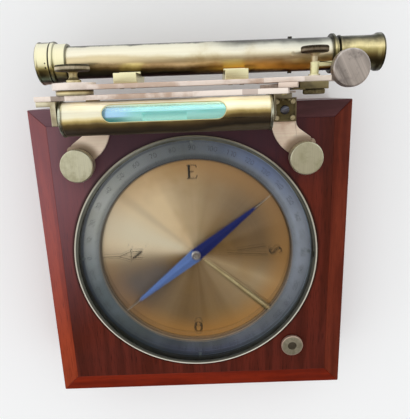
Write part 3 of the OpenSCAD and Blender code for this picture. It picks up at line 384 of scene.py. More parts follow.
def roundCorners(outline, fillet, arcSteps=4):
    # Rounds the inner corners of an outline; a third number in a point is its own fillet
    done = []
    last = len(outline) - 1
    for k, corner in enumerate(outline):
        here = Vector(corner[:2])
        radius = corner[2] if len(corner) > 2 else fillet
        if k in (0, last) or radius <= 0:
            done.append(here)
            continue
        before = Vector(outline[k - 1][:2]) - here
        after = Vector(outline[k + 1][:2]) - here
        reach = min(radius, before.length * 0.45, after.length * 0.45)
        start = here + before.normalized() * reach
        end = here + after.normalized() * reach
        if before.length > 4 * reach:
            done.append(here + before.normalized() * reach * 1.7)
        for step in range(arcSteps + 1):
            t = step / arcSteps
            done.append(start * (1 - t) ** 2 + here * (2 * t * (1 - t)) + end * t ** 2)
        if after.length > 4 * reach:
            done.append(here + after.normalized() * reach * 1.7)
    return done


axes = {
    "z": Matrix.Identity(3), "x": Matrix(((0, 0, 1), (1, 0, 0), (0, 1, 0))),
    "y": Matrix(((1, 0, 0), (0, 0, 1), (0, -1, 0))),
}


def turned(name, outline, at, axis, material, owner, steps=96, fillet=0.3, closed=False, mill=None):
    # A turned piece: outline of (radius, height) along the axis, from the place "at"; "owner" is
    # its body, its slot and the node it stands for
    if closed:
        outline = outline + [outline[0]]
    points = roundCorners(outline, fillet)
    mesh = bpy.data.meshes.new(name)
    mesh.from_pydata([(p.x * mm, 0, p.y * mm) for p in points],
                     [(k, k + 1) for k in range(len(points) - 1)], [])
    run = mesh.attributes.new("run", "FLOAT", "POINT")
    total = 0.0
    for k, p in enumerate(points):
        total += (p - points[k - 1]).length * mm if k else 0
        run.data[k].value = total
    outer = max(p.x for p in points)
    mill = mill or {}
    piece = grow(name, mesh, turnedTree, {
        "Steps": mill.get("count", 0) * 6 or steps, "Mill Count": mill.get("count", 1),
        "Mill Depth": mill.get("depth", 0.0) * mm, "Mill Radius": (outer - mill.get("band", 0.4)) * mm,
        "Mill Low": mill.get("low", 0.0) * mm, "Mill High": mill.get("high", 0.0) * mm,
        "Outer Radius": outer * mm, "Material": material,
    })
    piece.data.transform(Matrix.Translation(Vector(at) * mm) @ axes[axis].to_4x4())
    pointOut(piece.data)
    smooth(piece.data, 32)
    return hand(piece, *owner)


def screws(name, spots, material, radius, height, slotWidth, slotDepth):
    # spots: (place, axis, spin in degrees)
    mesh = bpy.data.meshes.new(name)
    mesh.from_pydata([Vector(s[0]) * mm for s in spots], [], [])
    mesh.attributes.new("axis", "FLOAT_VECTOR", "POINT")
    mesh.attributes.new("spin", "FLOAT", "POINT")
    for k, spot in enumerate(spots):
        mesh.attributes["axis"].data[k].vector = spot[1]
        mesh.attributes["spin"].data[k].value = math.radians(spot[2])
    piece = grow(name, mesh, screwTree, {
        "Head Radius": radius, "Head Height": height, "Dome": 0.18, "Slot Width": slotWidth,
        "Slot Depth": slotDepth, "Material": material,
    })
    smooth(piece.data, 30)
    return piece


def ticks(name, material, values):
    scaled = {}
    lengths = ("Start Radius", "Long", "Middle", "Short", "Width", "Height", "Level")
    for label, value in values.items():
        scaled[label] = value * mm if label in lengths else value
        if label in ("First Angle", "Step Angle"):
            scaled[label] = math.radians(value)
    scaled["Material"] = material
    return grow(name, bpy.data.meshes.new(name), tickTree, scaled)


def strokes(name, lines, material, flatness=0.2, sides=4):
    # lines: lists of (x, y, z, pen width)
    points, edges, pens = [], [], []
    for line in lines:
        for k, p in enumerate(line):
            if k:
                edges.append((len(points) - 1, len(points)))
            points.append(Vector(p[:3]) * mm)
            pens.append(p[3] * mm)
    mesh = bpy.data.meshes.new(name)
    mesh.from_pydata(points, edges, [])
    pen = mesh.attributes.new("pen", "FLOAT", "POINT")
    pen.data.foreach_set("value", pens)
    return grow(name, mesh, strokeTree, {"Flatness": flatness, "Sides": sides, "Material": material})


def groupTree(name, inputs, outputs):
    return makeTree(
        name, "ShaderNodeTree", {"Vector": "Vector", **inputs}, {label: "Float" for label in outputs},
    )


def noiseOf(tree, vector, **values):
    return addNode(tree, "ShaderNodeTexNoise", {"Vector": vector, **values}).outputs["Fac"]


def buildStreaks():
    # Fine lines along the first axis of the vector
    tree, get, sink = groupTree("brushLines", {"Along": 40.0, "Across": 4000.0, "Contrast": 1.0}, ["Mask"])
    stretched = vectorMath("MULTIPLY", get["Vector"], joinVector(get["Along"], get["Across"], get["Across"]))
    noise = noiseOf(tree, stretched, Scale=1.0, Detail=3.0, Roughness=0.6)
    feed(sink[0], plus(times(minus(noise, 0.5), get["Contrast"]), 0.5, clamp=True))
    return tree


def buildBlotches():
    # Cloudy patches, such as patina, between two levels of a noise
    tree, get, sink = groupTree(
        "patches", {"Scale": 60.0, "Low": 0.45, "High": 0.65, "Roughness": 0.6}, ["Mask"],
    )
    noise = noiseOf(tree, get["Vector"], Detail=6.0, Scale=get["Scale"], Roughness=get["Roughness"])
    feed(sink[0], rise(noise, get["Low"], get["High"]))
    return tree


def buildEdgeWearAndHighlight():
    # Edges rubbed bright by hands and cloths, with a painted highlight on the same edges
    tree, get, sink = groupTree("edgeWearAndHighlight", {"Scale": 300.0, "Amount": 1.0}, ["Mask"])
    wearAndHighlight = addNode(tree, "ShaderNodeAttribute", attribute_name="wearAndHighlight").outputs["Fac"]
    noise = noiseOf(tree, get["Vector"], Detail=4.0, Scale=get["Scale"])
    feed(sink[0], times(times(plus(noise, 0.35), wearAndHighlight), get["Amount"], clamp=True))
    return tree


def buildWoodGrain():
    # Mahogany: broad bands, short dark pores and a slow change of tone, grain along X
    tree, get, sink = groupTree("woodGrain", {"Scale": 1.0}, ["Bands", "Pores", "Height"])

    def layer(stretch, detail, rough, distort):
        return noiseOf(
            tree, vectorMath("MULTIPLY", get["Vector"], stretch), Scale=get["Scale"], Detail=detail,
            Roughness=rough, Distortion=distort,
        )

    bands = layer((9, 160, 160), 4, 0.55, 0.6)
    pores = rise(layer((90, 2600, 2600), 2, 0.5, 0.2), 0.56, 0.7)
    for k, value in enumerate((bands, pores, minus(times(bands, 0.3), pores))):
        feed(sink[k], value)
    return tree


shaderGroups = {
    "streaks": buildStreaks(),
    "patches": buildBlotches(),
    "edgeWearAndHighlight": buildEdgeWearAndHighlight(),
    "woodGrain": buildWoodGrain(),
}


def newMaterial(name):
    material = bpy.data.materials.new(name)
    material.use_nodes = True
    tree = material.node_tree
    tree.nodes.clear()
    shader = addNode(tree, "ShaderNodeBsdfPrincipled")
    addNode(tree, "ShaderNodeOutputMaterial", {0: shader.outputs[0]})
    return material, tree, shader


def setInputs(shader, values):
    for label, value in values.items():
        feed(shader.inputs[label], value)


def groupNode(tree, name, **values):
    return addNode(tree, "ShaderNodeGroup", values, node_tree=shaderGroups[name]).outputs


def patches(vector, scale, low, high):
    return groupNode(treeOf(vector), "patches", Vector=vector, Scale=scale, Low=low, High=high)[0]


def streaks(vector, along, across, contrast):
    return groupNode(
        treeOf(vector), "streaks", Vector=vector, Along=along, Across=across, Contrast=contrast,
    )[0]


def mixColour(mask, first, second, blend="MIX"):
    first, second = ((*colour, 1) if isinstance(colour, tuple) else colour for colour in (first, second))
    return addNode(treeOf(mask, first, second), "ShaderNodeMix", {"Factor": mask, 6: first, 7: second},
                   data_type="RGBA", blend_type=blend).outputs[2]


def coords(tree, centre=(0, 0, 0), turn=(0, 0, 0), kind="Object"):
    source = addNode(tree, "ShaderNodeTexCoord").outputs[kind]
    return addNode(
        tree, "ShaderNodeMapping",
        {
            "Location": tuple(c * mm for c in centre), "Rotation": tuple(math.radians(t) for t in turn),
            "Vector": source,
        },
        vector_type="TEXTURE",
    ).outputs[0]


def shade(colour, share):
    return tuple(min(1.0, c * share) for c in colour)


def flatReach(vector):
    return vectorMath("LENGTH", vectorMath("MULTIPLY", vector, (1, 1, 0)))


def addRelief(tree, shader, height, strength, distance):
    relief = addNode(tree, "ShaderNodeBump", {"Strength": strength, "Distance": distance, "Height": height})
    feed(shader.inputs["Normal"], relief.outputs[0])


def ramp(share, stops):
    node = addNode(treeOf(share), "ShaderNodeValToRGB", {0: share})
    elements = node.color_ramp.elements
    while len(elements) < len(stops):
        elements.new(0.5)
    for element, (at, colour) in zip(elements, stops):
        element.position = at
        element.color = (*colour, 1)
    return node.outputs[0]


def paintedLightColour(tree, band):
    # Painted light and shade across a round piece, from its lower side (-1) to its upper side (1), or by
    # place
    spot = splitVector(coords(tree, turn=band.get("turn", (0, 0, 0))))
    share = over(minus(spot[band["axis"]], band["middle"] * mm), band["half"] * mm)
    if "slide" in band:
        low, high, amount = band["slide"]
        shift = times(rise(spot[0], low * mm, high * mm), amount)
        share = plus(share, times(shift, rise(share, 0.7, 0.2)))
    cloud = patches(coords(tree), band.get("cloud", 60.0), 0.2, 0.8)
    share = plus(share, times(minus(cloud, 0.5), band.get("ragged", 0.0)))
    share = plus(times(share, 0.5), 0.5, clamp=True)

    def tones(name):
        return ramp(share, [(at * 0.5 + 0.5, colour) for at, colour in band[name]])

    if "other" not in band:
        return tones("stops")
    low, high = band["fade"]
    return mixColour(rise(spot[0], low * mm, high * mm), tones("stops"), tones("other"))


def paintedLightBand(middle, half, stops, **more):
    # Painted light and shade across a piece whose middle and half width are given, along Y unless "axis" says
    # other
    return {"axis": 1, "middle": middle, "half": half, "stops": stops, **more}


def makeMetal(
    name, base, stain, bright, rough=0.3, kind="Object", turn=(0, 0, 0), across=2500, along=30, lines=0.16,
    patch=(45, 0.45, 0.7), wearAndHighlight=0.8, bump=0.1, metallic=1.0, band=None, paintedGlow=None, darkBands=(), spots=(),
):
    material, tree, shader = newMaterial(name)
    # Painted glow: the lit side of the piece gives light of its own
    if paintedGlow:
        setInputs(shader, {"Emission Color": paintedLightColour(tree, paintedGlow), "Emission Strength": 1.0,
                           "Specular IOR Level": 0.08})
    body = coords(tree)
    streak = streaks(coords(tree, turn=turn, kind=kind), along, across, 1.6)
    stained = patches(body, *patch)
    edge = groupNode(tree, "edgeWearAndHighlight", Vector=body, Scale=260.0, Amount=wearAndHighlight)[0]
    colour = mixColour(streak, shade(base, 1 - lines), shade(base, 1 + lines))
    colour = mixColour(stained, colour, stain)
    # Painted light and shade across the piece, multiplied into its colour
    if band:
        colour = mixColour(1.0, colour, paintedLightColour(tree, band), "MULTIPLY")
    # Brighter sharp edges: wear, and a painted highlight
    colour = mixColour(times(edge, 0.5) if band else edge, colour, bright)
    spot = splitVector(body)
    for low, high, weight, darkBandColour in darkBands:
        # A dark band between two places along X: lines round the tubes, and on the limb a painted shadow
        mask = times(rise(spot[0], (low - 0.2) * mm, (low + 0.1) * mm),
                     rise(spot[0], (high + 0.2) * mm, (high - 0.1) * mm))
        colour = mixColour(times(mask, weight), colour, darkBandColour)
    for x, y, full, none, weight, paintedShadeColour in spots:
        # Painted shade, darker towards a point: round the ear knobs, and in small holes
        away = vectorMath("LENGTH", joinVector(minus(spot[0], x * mm), minus(spot[1], y * mm)))
        colour = mixColour(times(rise(away, none * mm, full * mm), weight), colour, paintedShadeColour)
    roughness = plus(plus(times(streak, 0.16), rough - 0.08), times(stained, 0.12))
    setInputs(shader, {"Base Color": colour, "Metallic": metallic,
                       "Roughness": minus(roughness, times(edge, 0.08), clamp=True)})
    addRelief(tree, shader, streak, bump, 0.00004)
    return material


def makeWood(name, dark, light, pore, turn=(0, 0, 0), tint=None, paintedSheen=0.0, paintedShadow=0.0):
    material, tree, shader = newMaterial(name)
    body = coords(tree)
    grain = groupNode(tree, "woodGrain", Vector=coords(tree, turn=turn), Scale=1.0)
    colour = mixColour(rise(grain["Bands"], 0.36, 0.64), dark, light)
    colour = mixColour(times(patches(body, 14.0, 0.35, 0.7), 0.35), colour, tint or dark)
    colour = mixColour(times(grain["Pores"], 0.7), colour, pore)
    edge = groupNode(tree, "edgeWearAndHighlight", Vector=body, Scale=180.0, Amount=0.5)[0]
    # Lighter sharp edges: wear, and a painted highlight
    colour = mixColour(edge, colour, shade(light, 1.6))
    if paintedSheen:
        # A painted reflection at the back left, painted shade with some dirt in the corner round the rim, and
        # a painted shadow under the telescope
        slant = splitVector(coords(tree, turn=(0, 0, 135)))[0]
        colour = mixColour(times(rise(slant, 0.01, 0.12), paintedSheen), colour, (0.33, 0.19, 0.24))
        rimShadeAndDirt = times(rise(flatReach(body), 0.0796, 0.0778), 0.75)
        colour = mixColour(rimShadeAndDirt, colour, (0.006, 0.003, 0.002))
        spot = splitVector(body)
        shadow = times(rise(spot[1], 0.036, 0.072), rise(spot[0], -0.084, -0.05))
        shadow = times(shadow, rise(spot[0], 0.092, 0.05))
        colour = mixColour(times(shadow, paintedShadow), colour, (0.045, 0.017, 0.028))
    setInputs(shader, {
        "Base Color": colour, "Roughness": plus(times(patches(body, 30.0, 0.4, 0.75), 0.14), 0.32),
        "Specular IOR Level": 0.12, "Coat Weight": 0.16, "Coat Roughness": 0.2,
    })
    addRelief(tree, shader, grain["Height"], 0.25, 0.00006)
    return material


def makeGlass(name, tint, ior=1.46, alpha=1.0):
    material, tree, shader = newMaterial(name)
    smear = patches(coords(tree), 35.0, 0.45, 0.8)
    setInputs(shader, {
        "Alpha": alpha, "Transmission Weight": 1.0, "IOR": ior,
        "Base Color": mixColour(smear, tint, shade(tint, 0.97)), "Roughness": plus(times(smear, 0.015), 0.01),
    })
    return material


# The panel and the back and left rails carry a painted reflection at the back left; the panel also has
# painted shade round the bezel and a painted shadow under the telescope
wood = {
    "panel": makeWood(
        "mahoganyPanel", (0.078, 0.011, 0.004), (0.132, 0.018, 0.008), (0.014, 0.002, 0.001), turn=(0, 0, 90),
        tint=(0.07, 0.014, 0.011), paintedSheen=0.45, paintedShadow=0.85,
    ),
    "railX": makeWood(
        "mahoganyRailAcross", (0.1, 0.006, 0.0005), (0.225, 0.016, 0.001), (0.03, 0.003, 0.001),
    ),
    "railBack": makeWood(
        "mahoganyRailBack", (0.048, 0.016, 0.017), (0.105, 0.036, 0.04), (0.02, 0.007, 0.006), paintedSheen=0.35,
    ),
    "railL": makeWood(
        "mahoganyRailLeft", (0.16, 0.017, 0.003), (0.32, 0.046, 0.014), (0.05, 0.006, 0.002), turn=(0, 0, 90),
        paintedSheen=0.42,
    ),
    "railR": makeWood(
        "mahoganyRailRight", (0.07, 0.009, 0.004), (0.165, 0.026, 0.01), (0.03, 0.004, 0.001),
        turn=(0, 0, 90),
    ),
    "board": makeWood("mahoganyBoard", (0.07, 0.016, 0.008), (0.15, 0.04, 0.018), (0.02, 0.005, 0.004)),
}

# Tones across the round pieces, from the shaded front to the bright back
tone = {
    "tubeLeft": (
        (-1.0, (0.05, 0.05, 0.04)), (-0.78, (0.09, 0.075, 0.045)), (-0.62, (0.18, 0.13, 0.06)),
        (-0.46, (0.55, 0.45, 0.28)), (-0.34, (1, 0.88, 0.64)), (0.0, (0.78, 0.7, 0.54)), (0.25, (1, 1, 0.97)),
        (0.84, (0.98, 0.98, 0.95)), (0.94, (0.2, 0.21, 0.21)), (1.0, (0.07, 0.07, 0.07)),
    ),
    "tubeRight": (
        (-1.0, (0.03, 0.02, 0.01)), (-0.9, (0.2, 0.11, 0.03)), (-0.8, (1, 0.6, 0.14)),
        (-0.55, (0.66, 0.38, 0.11)), (-0.3, (0.5, 0.38, 0.22)), (-0.05, (0.85, 0.78, 0.66)), (0.3, (1, 1, 1)),
        (0.55, (0.78, 0.8, 0.84)), (0.8, (0.24, 0.25, 0.27)), (0.95, (0.06, 0.06, 0.065)),
    ),
    "cap": (
        (-1.0, (0.6, 0.6, 0.5)), (-0.94, (0.75, 0.8, 0.7)), (-0.86, (0.16, 0.24, 0.22)),
        (-0.6, (0.18, 0.17, 0.11)), (-0.42, (0.4, 0.36, 0.18)), (-0.3, (0.86, 0.84, 0.46)),
        (-0.16, (1, 1, 0.84)), (0.84, (1, 1, 1)), (0.91, (0.16, 0.16, 0.17)), (1.0, (0.05, 0.05, 0.05)),
    ),
    "eye": (
        (-1.0, (0.03, 0.03, 0.02)), (-0.75, (0.1, 0.09, 0.06)), (-0.4, (0.24, 0.21, 0.12)),
        (-0.1, (0.4, 0.35, 0.18)), (0.12, (0.55, 0.48, 0.26)), (0.26, (0.98, 0.88, 0.6)),
        (0.4, (0.8, 0.72, 0.5)), (0.55, (0.42, 0.38, 0.28)), (0.7, (0.16, 0.15, 0.12)),
        (0.82, (0.08, 0.08, 0.07)), (0.9, (0.3, 0.31, 0.31)), (1.0, (0.05, 0.05, 0.05)),
    ),
    "level": (
        (-1.0, (0.06, 0.045, 0.03)), (-0.93, (0.05, 0.035, 0.02)), (-0.82, (0.012, 0.007, 0.004)),
        (-0.55, (0.035, 0.02, 0.008)), (-0.3, (0.11, 0.07, 0.022)), (-0.12, (0.5, 0.38, 0.15)),
        (0.0, (0.88, 0.76, 0.45)), (0.16, (1, 0.97, 0.82)), (0.62, (1, 1, 0.94)), (0.85, (0.9, 0.88, 0.8)),
        (0.96, (0.45, 0.42, 0.35)), (1.0, (0.15, 0.14, 0.12)),
    ),
    "paintedGlowLeft": (
        (0.4, (0, 0, 0)), (0.62, (0.32, 0.29, 0.16)), (0.8, (0.52, 0.48, 0.34)), (0.94, (0.28, 0.24, 0.18)),
        (1.0, (0.05, 0.04, 0.03)),
    ),
    "paintedGlowRight": (
        (0.25, (0, 0, 0)), (0.42, (0.3, 0.27, 0.15)), (0.6, (0.62, 0.6, 0.42)), (0.8, (0.5, 0.46, 0.26)),
        (0.94, (0.62, 0.56, 0.42)), (1.0, (0.2, 0.18, 0.13)),
    ),
}
nearBlack = (0.02, 0.018, 0.012)
scopePaintedLight = paintedLightBand(
    120.0, 8.8, tone["tubeLeft"], other=tone["tubeRight"], fade=(0, 34), slide=(-18, -46, -0.22), ragged=0.22,
    cloud=55.0,
)
levelPaintedLight = paintedLightBand(89.7, 9.2, tone["level"], slide=(2, 26, -0.3), ragged=0.14, cloud=70.0)
# Painted glow on the lit side of the level tube
levelPaintedGlow = paintedLightBand(
    89.7, 9.2, tone["paintedGlowLeft"], other=tone["paintedGlowRight"], fade=(5, 20), ragged=0.05, cloud=70.0,
)

# A brass with a band carries painted light and shade across the piece: highlights, reflections and shaded
# sides
metal = {
    "tube": makeMetal(
        "drawnBrass", (0.97, 0.91, 0.76), (0.62, 0.5, 0.26), (0.95, 0.88, 0.62), rough=0.32, along=12,
        across=900, lines=0.08, patch=(38, 0.55, 0.9), band=scopePaintedLight,
    ),
    "levelTube": makeMetal(
        "levelBrass", (1.0, 0.96, 0.83), (0.86, 0.76, 0.52), (0.95, 0.9, 0.7), rough=0.34, along=12,
        across=900, lines=0.07, patch=(50, 0.55, 0.9), band=levelPaintedLight, metallic=0.1, paintedGlow=levelPaintedGlow, wearAndHighlight=0.1,
        bump=0.05, darkBands=((-69.5, -66.9, 0.5, (0.1, 0.08, 0.05)), (43.4, 46, 0.5, (0.1, 0.08, 0.05))),
    ),
    "capBrass": makeMetal(
        "capBrass", (0.98, 0.92, 0.7), (0.76, 0.67, 0.4), (0.96, 0.9, 0.66), rough=0.32, kind="UV", along=8,
        across=3000, lines=0.07, patch=(60, 0.6, 0.9), wearAndHighlight=0.3,
        band=paintedLightBand(120.0, 11.5, tone["cap"], ragged=0.12),
        darkBands=(
            (-83.5, -82.0, 0.85, nearBlack), (-75.3, -74.5, 0.85, nearBlack), (-72.9, -72.5, 0.5, nearBlack),
            (-66.5, -65.7, 0.75, nearBlack),
        ),
        # Two small holes in the cap, painted dark as shade
        spots=((-76.7, 119.5, 0.2, 0.6, 0.9, nearBlack), (-76.6, 117.2, 0.3, 0.7, 0.9, nearBlack)),
    ),
    "eyeBrass": makeMetal(
        "eyepieceBrass", (1.0, 0.95, 0.72), (0.34, 0.33, 0.28), (0.96, 0.92, 0.8), rough=0.34, kind="UV",
        darkBands=(
            (78.9, 80.2, 0.85, nearBlack), (81.6, 82.2, 0.6, nearBlack), (83.2, 84.0, 0.9, nearBlack),
            (106.9, 109, 0.8, nearBlack),
        ),
        along=8, across=3000, patch=(110, 0.45, 0.75),
        band=paintedLightBand(120.0, 9.9, tone["eye"], ragged=0.16, cloud=120.0),
    ),
    "plate": makeMetal(
        "wornPlate", (1.0, 0.76, 0.6), (0.74, 0.5, 0.36), (1.0, 0.88, 0.76), rough=0.38, along=25,
        across=1800, patch=(62, 0.5, 0.8), metallic=0.4,
        # Painted shade on the ears round the two ear knobs
        spots=(
            (-67, 62.5, 11.0, 15.5, 0.8, (0.22, 0.14, 0.08)), (67, 62.5, 11.0, 15.5, 0.8, (0.22, 0.14, 0.08)),
        ),
    ),
    "limb": makeMetal(
        "limbBrass", (0.95, 0.82, 0.73), (0.6, 0.44, 0.34), (0.98, 0.9, 0.82), rough=0.38, along=12,
        across=900, lines=0.08, patch=(34, 0.5, 0.62), metallic=0.35,
        # A painted shadow of the pivot hub between x -71.5 and -63.5, and a darker band between x 26.5 and
        # 33.5
        darkBands=((-71.5, -63.5, 0.7, (0.13, 0.08, 0.05)), (26.5, 33.5, 0.55, (0.36, 0.26, 0.22))),
    ),
    "knob": makeMetal(
        "knobBrass", (0.74, 0.74, 0.56), (0.56, 0.55, 0.37), (0.96, 0.9, 0.78), rough=0.42, turn=(0, 0, 90),
        along=30, across=2200, lines=0.16, patch=(120, 0.45, 0.75),
    ),
    # The two knobs below have painted highlights, sky reflections and shade in stripes across their rims
    "pivotKnob": makeMetal(
        "pivotKnobBrass", (0.86, 0.76, 0.46), (0.5, 0.42, 0.22), (0.6, 0.54, 0.34), rough=0.4,
        patch=(160, 0.45, 0.7), wearAndHighlight=0.5,
        band=paintedLightBand(114.0, 4.0, (
            (-0.1, (1, 1, 1)), (0.1, (0.1, 0.09, 0.08)), (0.24, (0.1, 0.09, 0.08)),
            (0.36, (0.66, 0.68, 0.86)), (0.6, (0.8, 0.8, 1.0)), (0.72, (0.08, 0.08, 0.08)),
            (0.9, (0.05, 0.05, 0.05)),
        )),
    ),
    "clampKnob": makeMetal(
        "clampKnobBrass", (0.72, 0.62, 0.42), (0.44, 0.36, 0.22), (0.6, 0.52, 0.38), rough=0.4,
        patch=(160, 0.45, 0.7), wearAndHighlight=0.5,
        band=paintedLightBand(119.2, 4.0, (
            (-0.1, (1, 1, 1)), (0.05, (0.06, 0.05, 0.05)), (0.2, (0.05, 0.04, 0.04)),
            (0.34, (0.42, 0.4, 0.44)), (0.5, (0.34, 0.32, 0.34)), (0.6, (0.05, 0.04, 0.04)),
            (0.9, (0.04, 0.03, 0.03)),
        )),
    ),
    # Painted light on the left and painted shade on the right
    "pale": makeMetal(
        "paleBrass", (0.8, 0.76, 0.56), (0.5, 0.44, 0.28), (0.96, 0.93, 0.76), rough=0.4,
        patch=(90, 0.45, 0.7), band=paintedLightBand(0.0, 10.0, ((-0.5, (1, 1, 1)), (0.5, (0.2, 0.17, 0.13))), axis=0),
    ),
    # Painted highlight along the upper edge and painted shade along the lower edge
    "lever": makeMetal(
        "leverBrass", (0.95, 0.8, 0.5), (0.7, 0.54, 0.28), (0.98, 0.9, 0.7), rough=0.36,
        patch=(60, 0.45, 0.7), metallic=0.5, wearAndHighlight=0.1,
        band=paintedLightBand(0.0, 2.0, turn=(0, 0, place["leverTurn"]), stops=(
            (-1.0, (0.06, 0.05, 0.03)), (-0.7, (0.22, 0.2, 0.14)), (-0.2, (0.42, 0.38, 0.26)),
            (0.05, (1, 0.98, 0.9)), (0.4, (1, 1, 0.95)), (0.6, (0.25, 0.18, 0.1)), (1.0, (0.06, 0.04, 0.02)),
        )),
    ),
    "retainer": makeMetal(
        "retainerBrass", (0.2, 0.21, 0.18), (0.12, 0.125, 0.105), (0.36, 0.36, 0.3), rough=0.45,
    ),
    # Brass darkened as painted shade, for parts that sit in shade: the foot brackets, the clamp jaw and the
    # clamp nut
    "dark": makeMetal(
        "shadeDarkenedBrass", (0.15, 0.125, 0.06), (0.06, 0.05, 0.03), (0.5, 0.42, 0.24), rough=0.42,
        patch=(160, 0.45, 0.7),
    ),
    "screw": makeMetal(
        "screwBrass", (0.4, 0.34, 0.19), (0.14, 0.11, 0.06), (0.95, 0.88, 0.62), rough=0.34,
        patch=(300, 0.45, 0.7),
    ),
    "arm": makeMetal(
        "armBrass", (0.95, 0.82, 0.74), (0.66, 0.5, 0.4), (0.98, 0.9, 0.82), rough=0.38, along=12, across=900,
        lines=0.08, patch=(30, 0.5, 0.62), metallic=0.35,
    ),
    "clampBrass": makeMetal(
        "clampBrass", (0.95, 0.86, 0.72), (0.66, 0.56, 0.4), (0.98, 0.93, 0.76), rough=0.36,
        patch=(90, 0.55, 0.85), metallic=0.6,
        band=paintedLightBand(108.2, 1.0, ((-0.4, (1, 0.93, 1)), (0.4, (0.96, 0.96, 0.66)))),
    ),
    # Painted highlight and shade in stripes across the rim
    "collar": makeMetal(
        "collarBrass", (0.8, 0.7, 0.4), (0.46, 0.37, 0.18), (0.9, 0.82, 0.56), rough=0.36,
        patch=(120, 0.45, 0.7), metallic=0.7,
        band=paintedLightBand(103.6, 1.5, (
            (-0.75, (0.1, 0.08, 0.06)), (-0.45, (0.55, 0.5, 0.45)), (-0.15, (1, 1, 1)),
            (0.15, (0.9, 0.85, 0.7)), (0.35, (0.3, 0.24, 0.16)), (0.8, (0.1, 0.08, 0.06)),
        )),
    ),
    # Painted shade on the front side and painted light on the back side
    "ends": makeMetal(
        "endBrass", (0.7, 0.74, 0.6), (0.34, 0.36, 0.26), (0.92, 0.95, 0.84), rough=0.34,
        patch=(90, 0.45, 0.7),
        band=paintedLightBand(
            89.7, 9.7,
            ((-1.0, (0.1, 0.1, 0.09)), (-0.7, (0.35, 0.36, 0.34)), (0.0, (1, 1, 1)), (1.0, (1, 1, 1))),
        ),
    ),
    "bright": makeMetal(
        "brightBrass", (0.92, 0.84, 0.5), (0.62, 0.48, 0.2), (0.98, 0.93, 0.66), rough=0.33,
        patch=(80, 0.55, 0.85),
    ),
    "silver": makeMetal(
        "scaleBrass", (0.74, 0.59, 0.5), (0.5, 0.38, 0.3), (0.95, 0.86, 0.78), rough=0.38,
        patch=(90, 0.45, 0.7),
    ),
    "bowl": makeMetal("dullBowl", (0.1, 0.1, 0.075), (0.05, 0.05, 0.04), (0.3, 0.28, 0.2), rough=0.5),
    "steel": makeMetal(
        "brightSteel", (0.62, 0.62, 0.62), (0.36, 0.34, 0.32), (0.88, 0.88, 0.88), rough=0.32,
        patch=(200, 0.45, 0.7),
    ),
    "ringScrew": makeMetal(
        "ringScrewSteel", (0.24, 0.3, 0.33), (0.12, 0.15, 0.17), (0.5, 0.56, 0.6), rough=0.4,
        patch=(300, 0.45, 0.7), wearAndHighlight=0.5,
    ),
    "blueSteel": makeMetal(
        "darkSteel", (0.08, 0.09, 0.13), (0.04, 0.04, 0.05), (0.4, 0.42, 0.5), rough=0.34,
        patch=(200, 0.45, 0.7),
    ),
    "grey": makeMetal(
        "greyKnob", (0.5, 0.455, 0.43), (0.3, 0.27, 0.26), (0.8, 0.72, 0.66), rough=0.4, turn=(0, 0, 118),
        along=14, across=420, lines=0.6, patch=(120, 0.5, 0.7),
    ),
}

glass = {
    "cover": makeGlass("coverGlass", (0.97, 0.99, 1.0), alpha=0.35),
    "lens": makeGlass("lensGlass", (0.93, 0.98, 1.0), ior=1.52),
    "vial": makeGlass("vialGlass", (0.95, 1.0, 1.0), alpha=0.5),
}


def lobe(angle, middle, sharpness, weight):
    # Painted sheen of circular brushing: a wedge that is brightest at one bearing
    swing = mathNode("COSINE", minus(angle, math.radians(middle)))
    return times(mathNode("POWER", plus(times(swing, 0.5), 0.5), sharpness), weight)


def makeBrushed(name, look):
    material, tree, shader = newMaterial(name)
    spot = coords(tree, look.get("centre", (0, 0, 0)))
    part = splitVector(spot)
    angle = mathNode("ARCTAN2", part[1], part[0])
    reach = flatReach(spot)
    grooves = streaks(joinVector(angle, reach), 0.8, 6000.0, 1.6)
    ring = joinVector(mathNode("COSINE", angle), mathNode("SINE", angle))
    rays = patches(ring, look["rays"], 0.3, 0.7)
    patch = patches(spot, look.get("cloud", 36.0), 0.42, 0.72)
    # Painted sheen: wedges of light and dark by bearing, broken by rays and brushing lines
    sheen = look.get("plain", 0.0)
    for wedge in look["wedges"]:
        sheen = plus(lobe(angle, *wedge), sheen)
    sheen = plus(sheen, times(minus(rays, 0.5), 0.16))
    sheen = plus(sheen, times(minus(grooves, 0.5), 0.16), clamp=True)
    colour = mixColour(sheen, look["dark"], look["light"])
    colour = mixColour(times(patch, look.get("stained", 0.35)), colour, look["stain"])
    # Painted reflections and tints, each strongest at one bearing between two radii
    for middle, sharpness, weight, low, high, tint in look.get("tints", ()):
        mask = times(lobe(angle, middle, sharpness, weight), rise(reach, low * mm, high * mm), clamp=True)
        colour = mixColour(mask, colour, tint)
    for inner, outer, middle, sharpness, weight, tint in look.get("rings", ()):
        # A painted line of highlight and shade at a turned edge or a groove, strongest at one bearing
        mask = times(rise(reach, (inner - 0.15) * mm, (inner + 0.1) * mm),
                     rise(reach, (outer + 0.15) * mm, (outer - 0.1) * mm))
        colour = mixColour(times(mask, lobe(angle, middle, sharpness, weight), clamp=True), colour, tint)
    setInputs(shader, {
        "Base Color": colour, "Metallic": look["metallic"], "Anisotropic": look["anisotropic"],
        "Roughness": plus(times(grooves, 0.1), look["rough"]),
        "Tangent": addNode(tree, "ShaderNodeTangent", direction_type="RADIAL", axis="Z").outputs[0],
    })
    addRelief(tree, shader, grooves, 0.08, 0.00003)
    return material


